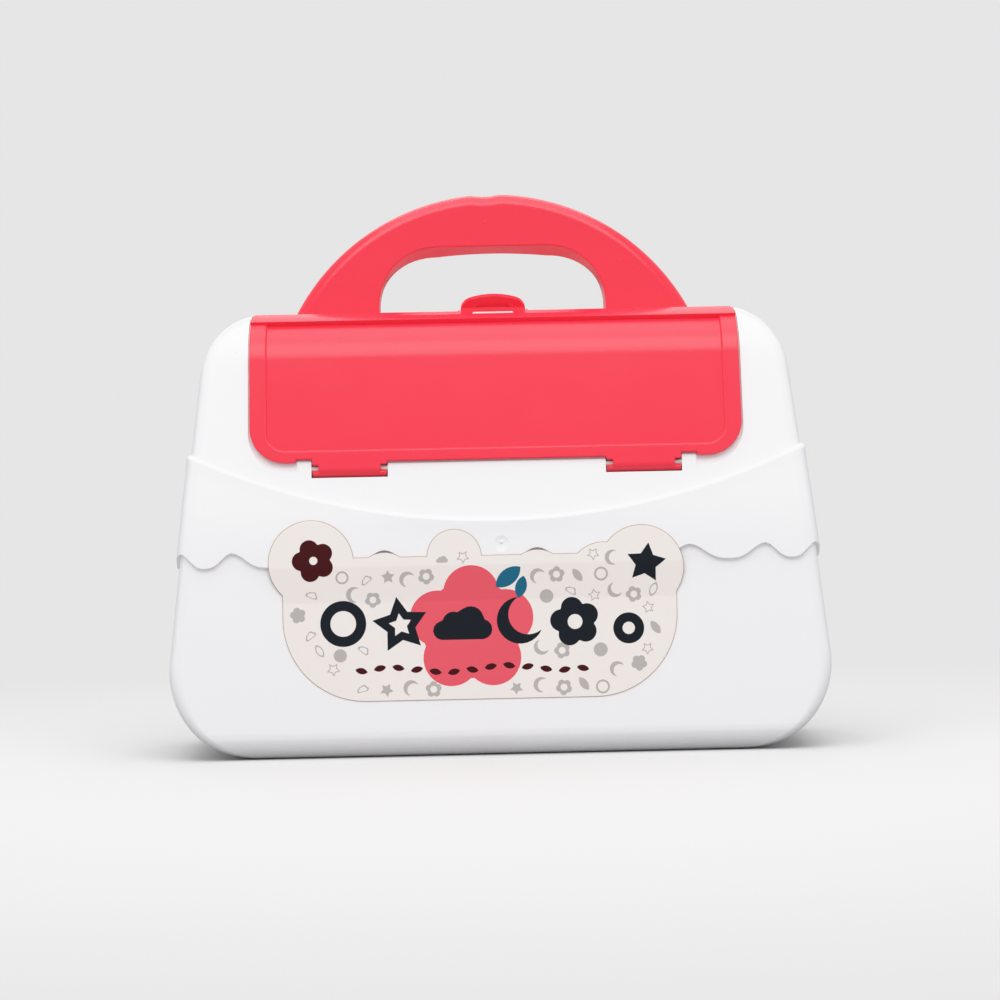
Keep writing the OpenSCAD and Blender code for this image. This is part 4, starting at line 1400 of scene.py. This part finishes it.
# --- Handle -------------------------------------------------------------------------------
@dataclass
class Handle:
    """The arch handle, moulded as two halves that clamp over the case's top."""

    form: CaseForm
    fasteners: Fasteners
    outer_r: float = 93.0
    rise: float = 50.0
    grip_half: float = 47.0
    grip_t: float = 22.0
    grip_r: float = 24.0
    half_depth: float = 9.0
    foot_depth: float = 11.0
    well_round: float = 0.35
    outer_round: float = 5.4
    inner_round: float = 0.7
    parting_round: float = 0.2
    parting_gap: float = 0.04
    arc_reach: float = 2.5      # edges this near the outer arc belong to it
    leg_reach: float = 0.5      # edges this near the legs' outer sides belong to them
    dip_x: float = -2.2
    dip_half: float = 6.6
    dip_depth: float = 0.85
    dip_power: float = 0.7      # below 1 for a flat floor and short ends
    dip_turns: Point = (84.0, 98.0)     # degrees between which the arc is drawn finely
    fine: float = 0.6           # degrees between points there
    coarse: float = 2.0         # degrees between points elsewhere
    waist_top: float = 2.3      # how far the grip's underside sags at the parting
    waist_sag: float = 1.2
    head_seat: float = 2.5
    pips: tuple[Point, ...] = ((-2.7, 218.1), (53.5, 201.1))
    screw_rise: float = 9.0     # of the legs' screws over the case's top

    @property
    def centre(self) -> Point:
        """Centre of the outer arc, as (x, z)."""
        return 0.0, self.form.height + self.rise - self.outer_r

    @property
    def grip_top(self) -> float:
        """Height of the grip's underside, where the hand opening ends."""
        return self.form.height + self.rise - self.grip_t

    @property
    def leg_out(self) -> float:
        """The legs' outer side."""
        return math.sqrt(self.outer_r ** 2 - (self.form.height - self.centre[1]) ** 2)

    def outer_point(self, degrees: float) -> Point:
        """A point of the outer arc, with the shallow dip at its top."""
        (_, z), (x, _) = self.centre, arc((0, 0), self.outer_r, degrees, degrees, 1)[0]
        share = min(1.0, abs(x - self.dip_x) / self.dip_half)
        r = self.outer_r - self.dip_depth * ((1 + math.cos(math.pi * share)) / 2) ** self.dip_power
        turn = math.radians(degrees)
        return r * math.cos(turn), z + r * math.sin(turn)

    def outline(self) -> Outline:
        """The handle seen from the front."""
        foot = self.form.height - self.foot_depth
        low = math.degrees(math.asin((self.form.height - self.centre[1]) / self.outer_r))
        turns, turn = [], low
        while turn < 180 - low - self.fine:
            turns.append(turn)
            near = self.dip_turns[0] <= turn <= self.dip_turns[1]
            turn += self.fine if near else self.coarse
        top = self.grip_top
        grip = arc((self.grip_half - self.grip_r, top - self.grip_r), self.grip_r, 0, 90, 14)
        span = self.grip_half - self.grip_r
        under = [(span * (1 - 2 * i / 16), top) for i in range(1, 16)]
        inner = ([(self.grip_half, foot)] + grip + under + flipped(grip)
                 + [(-self.grip_half, foot)])
        outer = [self.outer_point(t) for t in turns] + [(-self.leg_out, self.form.height)]
        return [(self.leg_out, foot)] + outer + [(-self.leg_out, foot)] + inner[::-1]

    def waist(self, bm: BMesh, joint: float) -> None:
        """Narrows the hand opening towards the parting, where a finger rests on a curve."""
        span, top, near = self.grip_half - self.grip_r, self.grip_top, 0.1
        for v in bm.verts:
            x, z = abs(v.co.x), v.co.z
            turn = math.degrees(math.atan2(z - top + self.grip_r, max(x - span, 1e-6)))
            if (abs(v.co.y - joint) > 1e-4 or x > self.grip_half + near or z > top + near
                    or z < self.form.height):
                continue
            if x < span:
                v.co.z -= self.waist_top + self.waist_sag * (x / span) ** 2
                continue
            inset = (self.waist_top + self.waist_sag) * eased(turn / 90)
            v.co.x -= math.copysign(inset * math.cos(math.radians(turn)), v.co.x)
            v.co.z -= inset * math.sin(math.radians(turn))

    def half(self, side: int) -> BMesh:
        """One half: side is -1 for the front and 1 for the rear."""
        face, joint = side * self.half_depth, side * self.parting_gap / 2
        bm = prism(self.outline(), Along.Y, min(face, joint), max(face, joint))
        self.waist(bm, joint)
        foot = self.form.height - self.foot_depth + 0.1
        centre = self.centre

        def on_face(e: BMEdge) -> bool:
            return abs(middle(e).y - face) < SLIVER and middle(e).z > foot

        def outer(e: BMEdge) -> bool:
            at = middle(e)
            return (math.hypot(at.x, at.z - centre[1]) > self.outer_r - self.arc_reach
                    or abs(at.x) > self.leg_out - self.leg_reach)

        soften(bm, lambda e: on_face(e) and outer(e), self.outer_round, 9)
        soften(bm, lambda e: on_face(e) and abs(middle(e).x) < self.grip_half + 0.1
               and not outer(e), self.inner_round, 4)
        soften(bm, lambda e: abs(middle(e).y - joint) < 0.001 and middle(e).z > foot,
               self.parting_round)
        return bm

    def front_half(self) -> BMesh:
        """The front half, with the marks left by the mould."""
        bm = self.half(-1)
        for x, z in self.pips:
            bm = pip(bm, (x, PIP_SUNK - self.half_depth, z))
        return bm

    def screw_at(self) -> list[Point]:
        """The handle's screws, as (x, z)."""
        leg = (self.grip_half + self.leg_out) / 2 - 1
        low = self.form.height + self.screw_rise
        return [(-leg, low), (0, self.form.height + self.rise - self.grip_t / 2), (leg, low)]

    def rear_half(self) -> BMesh:
        """The rear half, with its screw wells."""
        wells = gathered(rod(Along.Y, self.head_seat, self.half_depth + 5, at,
                             self.fasteners.well_r) for at in self.screw_at())
        bm = combined(self.half(1), wells, Join.CUT)
        soften(bm, self._well_edge, self.well_round)
        return bm

    def _well_edge(self, edge: BMEdge) -> bool:
        """Whether an edge is the outer rim of a screw well."""
        at = middle(edge)
        near = min(math.hypot(at.x - x, at.z - z) for x, z in self.screw_at())
        return near < self.fasteners.well_r + 0.3 and at.y > self.half_depth - 0.5

    def build(self, finishes: Finishes) -> None:
        """Makes both halves."""
        coral = finishes.get(Finishes.CORAL)
        piece("handle_front_half", self.front_half(), coral, Body.CASE, Slot.CORAL, "handle_front")
        piece("handle_rear_half", self.rear_half(), coral, Body.CASE, Slot.CORAL, "handle_rear")


# --- Sticker ------------------------------------------------------------------------------
def petals(degrees: float, reach: float = 0.56, round_r: float = 0.44) -> float:
    """Radius at an angle of a flower whose five petals are rounds."""
    off = math.radians((degrees - 90 + 36) % 72 - 36)
    return reach * math.cos(off) + math.sqrt(round_r ** 2 - (reach * math.sin(off)) ** 2)


class Shape(Enum):
    """The printed motifs. All are plain toy-like shapes drawn for this model."""

    STAR = "star"
    FLOWER = "flower"
    CLOUD = "cloud"
    LEAF = "leaf"
    RING = "ring"
    MOON = "moon"
    DISC = "disc"

    def outline(self) -> Outline:
        """The motif at radius 1, round its middle."""
        if self is Shape.STAR:
            return [arc((0, 0), r, t, t, 1)[0] for t, r in
                    ((90 + 36 * i, 0.52 if i % 2 else 1.0) for i in range(10))]
        if self is Shape.FLOWER:
            return [arc((0, 0), petals(t), t, t, 1)[0] for t in range(0, 360, 4)]
        if self is Shape.CLOUD:
            return ([(-0.62, -0.42), (0.62, -0.42)] + arc((0.62, -0.1), 0.32, -80, 75, 6)
                    + arc((0.25, 0.22), 0.42, 15, 120, 6) + arc((-0.3, 0.12), 0.36, 70, 165, 5)
                    + arc((-0.66, -0.12), 0.3, 105, 260, 6))
        if self is Shape.LEAF:
            return arc((-0.75, 0), 1.25, -53, 53, 10)[:-1] + arc((0.75, 0), 1.25, 127, 233, 10)[:-1]
        if self is Shape.MOON:
            return arc((0, 0), 1, 60, 300, 20) + arc((0.42, 0), 0.85, 272, 88, 16)[1:-1]
        return arc((0, 0), 1, 0, 354, 59)


@dataclass(frozen=True)
class Motif:
    """One printed shape, placed in millimetres as seen from the front."""

    shape: Shape
    x: float
    z: float
    size: float                 # its radius
    turn: float = 0.0           # degrees
    hole: float = 0.0           # share of the outline that is left open inside

    def rings(self) -> tuple[Outline, list[Outline]]:
        """The outline and its holes, as (x, z)."""
        base = self.shape.outline()
        if self.shape is Shape.MOON or not self.hole:
            return self.placed(base), []
        inner = [(a * self.hole, b * self.hole) for a, b in base]
        if self.shape is Shape.FLOWER:
            inner = arc((0, 0), self.hole * 0.6, 0, 345, 23)
        return self.placed(base), [self.placed(inner)]

    def placed(self, points: Outline) -> Outline:
        """Points of the shape at its place on the sticker."""
        c, s = math.cos(math.radians(self.turn)), math.sin(math.radians(self.turn))
        return [(self.x + self.size * (a * c - b * s), self.z + self.size * (a * s + b * c))
                for a, b in points]


@dataclass
class Sticker:
    """The die-cut sticker, which runs down off the band onto the lower face."""

    form: CaseForm
    band: Band
    middle: float = -8.0
    half: float = 79.0
    low: float = 23.0
    top: float = 80.2
    corner_r: float = 33.0
    lobes: tuple[Triple, ...] = (        # its upper rounds, as (x, height over top, radius)
        (-67.5, -1.7, 17.0), (-10.0, -0.1, 10.8), (50.0, -10.2, 14.6), (65.1, -5.9, 16.9))
    humps: Point = (23.35, -38.05)      # where the sheet rises into two of the band's cusps
    hump_h: float = 1.9
    hump_r: float = 11.7
    face_h: float = 0.26        # height of the sheet's face over the case
    paper_h: float = 0.14       # height of its brown paper edge
    paper_out: float = 0.22     # how far the paper edge shows
    ink_step: float = 0.012     # height of one layer of ink
    ink_sunk: float = 0.02      # how far an ink's back lies inside the sheet
    ramp_turn: float = 6.0      # degrees that the sheet turns to run down off the band
    ramp_r: float = 8.0
    knee_r: float = 6.0
    lead: float = 2.0           # of the route before the sheet's lower edge
    tail: float = 20.0          # of the route after the knee
    bend_step: float = 3.0      # degrees that a facet turns by, at most
    pattern_step: float = 8.7   # spacing of the small motifs
    pattern_size: float = 2.9
    pattern_rows: int = 10
    pattern_columns: int = 22
    pattern_from: Point = (-90.0, 4.5)  # from the sheet's middle and lower edge
    pattern_pack: float = 0.85  # share of the spacing between rows
    pattern_stray: Point = (1.2, 1.1)   # how far the motifs stray from their rows
    pattern_hole: float = 0.72

    def route(self) -> Bend:
        """The route up the front, over the step onto the band."""
        begin = self.low - self.lead
        lean, turn = math.radians(self.form.low_lean), math.radians(self.ramp_turn)
        run = (self.band.proud - 2 * self.ramp_r * (1 - math.cos(turn))) / math.sin(turn)
        length = 2 * self.ramp_r * math.sin(turn) + run * math.cos(turn)
        step = (self.band.cusp_z - self.band.lobe_drop - begin) / math.cos(lean) - length
        bend = Bend((self.form.low_y(begin), begin), self.form.low_lean)
        bend.straight(step).turn(self.ramp_r, -self.ramp_turn).straight(run)
        bend.turn(self.ramp_r, self.ramp_turn)
        knee = self.form.face_lean - self.form.low_lean
        rise = (self.form.knee_z - bend.end[1]) / math.cos(lean)
        reach = self.knee_r * math.tan(math.radians(knee / 2))
        return bend.straight(rise - reach).turn(self.knee_r, knee).straight(self.tail)

    def die_cut(self, grow: float, low: float, high: float) -> BMesh:
        """The flat sheet with its outline grown outwards, between two heights."""
        c = (self.half - self.corner_r, self.low + self.corner_r)
        corner = arc(c, self.corner_r + grow, -90, 0, 20)
        top, r = self.top + grow, self.hump_r + grow
        rise = math.degrees(math.asin((self.hump_r - self.hump_h + grow) / r))
        humps = [p for x in self.humps
                 for p in arc((x, self.top + self.hump_h - self.hump_r), r, rise, 180 - rise, 12)]
        right, left = (self.half + grow, top), (-self.half - grow, top)
        bm = prism([*corner, right, *humps, left, *flipped(corner)], Along.Y, -high, -low)
        for x, z, r in self.lobes:
            bm = combined(bm, rod(Along.Y, -high, -low, (x, self.top + z), r + grow, 72), Join.ADD)
        bmesh.ops.translate(bm, verts=bm.verts, vec=(self.middle, 0, 0))
        return bm

    def holds(self, x: float, z: float, room: float) -> bool:
        """Whether a place lies on the sticker with some room round it."""
        across, up = abs(x - self.middle), z - self.low
        lobe = any(math.hypot(x - self.middle - a, z - self.top - b) < r - room
                   for a, b, r in self.lobes)
        corner = (math.hypot(across - self.half + self.corner_r, up - self.corner_r)
                  < self.corner_r - room)
        square = across < self.half - self.corner_r or up > self.corner_r
        body = across < self.half - room and room < up < self.top - self.low - room
        return lobe or (body and (square or corner))

    def wrapped(self, bm: BMesh) -> BMesh:
        """Bends a flat sheet or print onto the case."""
        bend = self.route()
        lean = math.cos(math.radians(self.form.low_lean))
        for v in bm.verts:
            v.co.z = (v.co.z - self.low + self.lead) / lean
        sliced(bm, bend.cuts(self.bend_step)[1:-1])
        bend.wrap(bm)
        return bm

    def printed(self, motifs: Iterable[Motif], layer: int) -> BMesh:
        """Motifs of one ink, on one layer over the sheet."""
        low, high = self.face_h - self.ink_sunk, self.face_h + layer * self.ink_step
        return self.wrapped(gathered(sheet(*m.rings(), low, high) for m in motifs))

    def pattern(self, clear: list[Triple]) -> list[Motif]:
        """Small motifs in staggered rows, kept clear of some rounds.

        Args:
            clear: (x, z, radius) of places to leave free.

        Returns:
            The motifs.
        """
        shapes = (Shape.STAR, Shape.CLOUD, Shape.RING, Shape.LEAF, Shape.FLOWER, Shape.MOON)
        made, size, (stray_x, stray_z) = [], self.pattern_size, self.pattern_stray
        for k in range(self.pattern_rows * self.pattern_columns):
            row, column = divmod(k, self.pattern_columns)
            x = (self.middle + self.pattern_from[0]
                 + (column + 0.5 * (row % 2)) * self.pattern_step + stray_x * math.sin(7.3 * k))
            z = (self.low + self.pattern_from[1] + row * self.pattern_step * self.pattern_pack
                 + stray_z * math.sin(3.1 * k))
            free = all(math.hypot(x - a, z - b) > c + size for a, b, c in clear)
            if free and self.holds(x, z, size + 0.4):
                made.append(Motif(shapes[(k * 5 + row) % len(shapes)], x, z,
                                  size * (1 + 0.12 * math.sin(k)), 40 * math.sin(5.1 * k),
                                  self.pattern_hole if k % 3 else 0.0))
        return made

    def build(self, finishes: Finishes) -> None:
        """Makes the sheet and its prints."""
        vinyl, paper = finishes.get(Finishes.STICKER), finishes.get(Finishes.PAPER)
        face = self.wrapped(self.die_cut(0, 0.1, self.face_h))
        piece("label_sheet", face, vinyl, Body.CASE, Slot.STICKER, "front_label")
        back = self.wrapped(self.die_cut(self.paper_out, 0.02, self.paper_h))
        piece("label_paper", back, paper, Body.CASE, Slot.STICKER)
        bloom = Motif(Shape.FLOWER, -11.5, 51, 25.5)
        row = [Motif(Shape.RING, -63, 54, 9.2, 0, 0.56), Motif(Shape.STAR, -40, 53, 11.5, 8, 0.42),
               Motif(Shape.CLOUD, -15, 52, 12.5), Motif(Shape.MOON, 8, 54, 9.4, 35),
               Motif(Shape.FLOWER, 30, 53, 10.0, 12, 0.5), Motif(Shape.DISC, 51.5, 50, 6.2, 0, 0.4)]
        stitches = [Motif(Shape.LEAF, -56 + 7.4 * i, 35 + 1.1 * math.sin(i), 2.5, 78 + 24 * (i % 2))
                    for i in range(13)]
        dark = [Motif(Shape.STAR, 59, 76, 8.2, -8)]
        maroon = [Motif(Shape.FLOWER, -74.5, 79.5, 8.6, 20, 0.32), *stitches]
        teal = [Motif(Shape.LEAF, 3.5, 71.5, 6.4, -52), Motif(Shape.LEAF, 8.6, 67.4, 4.6, -15)]
        big = [bloom, *row, *dark, maroon[0], *teal]
        clear = [(m.x, m.z, m.size * 0.9) for m in big] + [(m.x, m.z, 1.6) for m in stitches]
        for name, motifs, finish, layer in (
                ("label_print_grey", self.pattern(clear), Finishes.INK_GREY, 1),
                ("label_print_coral", [bloom], Finishes.INK_CORAL, 1),
                ("label_print_teal", teal, Finishes.INK_TEAL, 3),
                ("label_print_maroon", maroon, Finishes.INK_MAROON, 3),
                ("label_print_navy", row + dark, Finishes.INK_NAVY, 2)):
            piece(name, self.printed(motifs, layer), finishes.get(finish), Body.CASE, Slot.STICKER)


# --- Camera, light and floor --------------------------------------------------------------
@dataclass(frozen=True)
class Lamp:
    """A soft light that faces the case. Lengths are metres."""

    name: str
    at: Triple
    size: Point                 # width and height
    power: float                # watts
    mirrored: bool = True       # whether glossy surfaces mirror it

    def hang(self, target: Triple) -> None:
        """Adds the light to the scene, facing a target."""
        data = bpy.data.lights.new(self.name, "AREA")
        data.shape, (data.size, data.size_y), data.energy = "RECTANGLE", self.size, self.power
        obj = linked(self.name, data)
        obj.location, obj.visible_glossy = self.at, self.mirrored
        aim = Vector(target) - Vector(self.at)
        obj.rotation_euler = aim.to_track_quat("-Z", "Y").to_euler()


@dataclass
class Studio:
    """The camera at the photograph's viewing angle, a pale floor and soft light."""

    distance: float = 1.090     # metres from the camera to the case's middle
    eye_height: float = 0.1024
    eye_x: float = -0.0135
    yaw: float = 0.79           # degrees that the camera looks to the right
    roll: float = 1.19          # degrees that the camera leans to its right
    lens: float = 93.6
    sensor: float = 36.0
    clip: Point = (0.05, 20.0)
    dome: float = 0.52          # strength of the light from all round
    backdrop: float = 0.79      # brightness that the camera sees behind the case
    floor_white: float = 0.72
    floor_rough: float = 0.9
    floor_shine: float = 0.1
    floor_bounce: float = 0.42  # how pale the floor is to the light that it throws back
    fade_from: float = 0.17     # metres from the middle where the floor starts to fade
    fade_to: float = 0.7
    floor_size: float = 30.0    # metres from its middle to its edges
    lit_at: Triple = (0, 0, 0.1)     # the place that the lamps face
    lamps: tuple[Lamp, ...] = (
        Lamp("key", (-0.05, -0.93, 1.16), (1.8, 0.72), 11),
        Lamp("top", (0.0, -0.2, 1.35), (1.4, 0.7), 5),
        Lamp("front", (0.0, -1.6, 0.12), (1.0, 0.7), 3.5, mirrored=False),
        Lamp("left", (-1.5, -0.4, 0.5), (0.7, 0.7), 2),
        Lamp("right", (1.5, -0.4, 0.5), (0.7, 0.7), 2),
        Lamp("back", (0.0, 0.72, 1.28), (1.2, 0.9), 5))
    brightest: float = 1.6      # light that the tone curve ends at
    tones: tuple[Point, ...] = (        # light, and the white that it is shown as
        (0.4, 0.4), (0.8, 0.8), (0.9, 0.885), (1.0, 0.94), (1.2, 0.98))

    def camera(self) -> None:
        """Places the camera."""
        data = bpy.data.cameras.new("camera")
        data.lens, data.sensor_width = self.lens, self.sensor
        data.clip_start, data.clip_end = self.clip
        obj = linked("camera", data)
        obj.matrix_world = (Matrix.Translation((self.eye_x, -self.distance, self.eye_height))
                            @ Matrix.Rotation(-math.radians(self.yaw), 4, "Z")
                            @ Matrix.Rotation(math.pi / 2, 4, "X")
                            @ Matrix.Rotation(-math.radians(self.roll), 4, "Z"))
        bpy.context.scene.camera = obj

    def floor(self) -> None:
        """Lays a pale floor that fades into the backdrop away from the case."""
        bm = bmesh.new()
        bmesh.ops.create_grid(bm, x_segments=1, y_segments=1, size=self.floor_size)
        mesh = spent(bm, "floor")
        pale = bpy.data.materials.new("pale_floor")
        pale.use_nodes = True
        w = Wiring(pale.node_tree)
        away = w.node("VectorMath", {0: w.node("TexCoord").outputs["Object"]}, operation="LENGTH")
        far = w.node("MapRange", {"Value": away.outputs["Value"], "From Min": self.fade_from,
                                  "From Max": self.fade_to}, interpolation_type="SMOOTHSTEP")
        seen = w.node("LightPath").outputs["Is Camera Ray"]
        shade = w.node("MapRange", {"Value": seen, "To Min": self.floor_bounce,
                                    "To Max": self.floor_white})
        shader = pale.node_tree.nodes["Principled BSDF"]
        w.fill(shader, {"Base Color": shade.outputs["Result"], "Roughness": self.floor_rough,
                        "Specular IOR Level": self.floor_shine})
        share = w.math("MULTIPLY", far.outputs["Result"], seen)
        sweep = w.node("Emission", {"Color": (1, 1, 1, 1), "Strength": self.backdrop})
        both = w.node("MixShader", {0: share, 1: shader.outputs["BSDF"],
                                    2: sweep.outputs["Emission"]})
        w.feed(pale.node_tree.nodes["Material Output"].inputs["Surface"], both.outputs["Shader"])
        mesh.materials.append(pale)
        linked("floor", mesh)

    def light(self) -> None:
        """Sets the soft studio light, before a backdrop of its own brightness."""
        world = bpy.data.worlds.new("studio")
        world.use_nodes = True
        w = Wiring(world.node_tree)
        seen = w.node("LightPath").outputs["Is Camera Ray"]
        strength = w.node("MapRange", {"Value": seen, "To Min": self.dome, "To Max": self.backdrop})
        w.fill(world.node_tree.nodes["Background"],
               {"Color": (1, 1, 1, 1), "Strength": strength.outputs["Result"]})
        bpy.context.scene.world = world
        for lamp in self.lamps:
            lamp.hang(self.lit_at)
        self.tone()

    def tone(self) -> None:
        """Rolls the brightest whites off softly, as a camera does."""
        view = bpy.context.scene.view_settings
        view.view_transform = "Standard"
        view.use_curve_mapping = True
        view.curve_mapping.white_level = (self.brightest,) * 3
        curve = view.curve_mapping.curves[3]
        for x, y in self.tones:
            curve.points.new(x / self.brightest, y)
        for point in curve.points:
            point.handle_type = "VECTOR"
        view.curve_mapping.update()

    def build(self) -> None:
        """Sets the whole studio."""
        self.camera()
        self.floor()
        self.light()


def dress_cad_nodes(finishes: Finishes) -> None:
    """Gives the CAD nodes that stay their finishes."""
    for name, finish in (("hinge_pin_left", Finishes.PIN), ("hinge_pin_right", Finishes.PIN),
                         ("shell_screws", Finishes.STEEL), ("handle_screws", Finishes.STEEL)):
        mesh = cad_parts[name].data
        mesh.materials.clear()
        mesh.materials.append(finishes.get(finish))
        log.info("%s: CAD node, finish %s", name, finish.name)


def main() -> None:
    """Builds the case."""
    Studio().build()
    form = CaseForm()
    hinge, fasteners = Hinge(form), Fasteners(form)
    finishes = Finishes()
    Shells(form, Band(form), hinge, fasteners).build(finishes)
    Door(form, hinge).build(finishes)
    Handle(form, fasteners).build(finishes)
    Sticker(form, Band(form)).build(finishes)
    dress_cad_nodes(finishes)


if __name__ == "__main__":
    main()
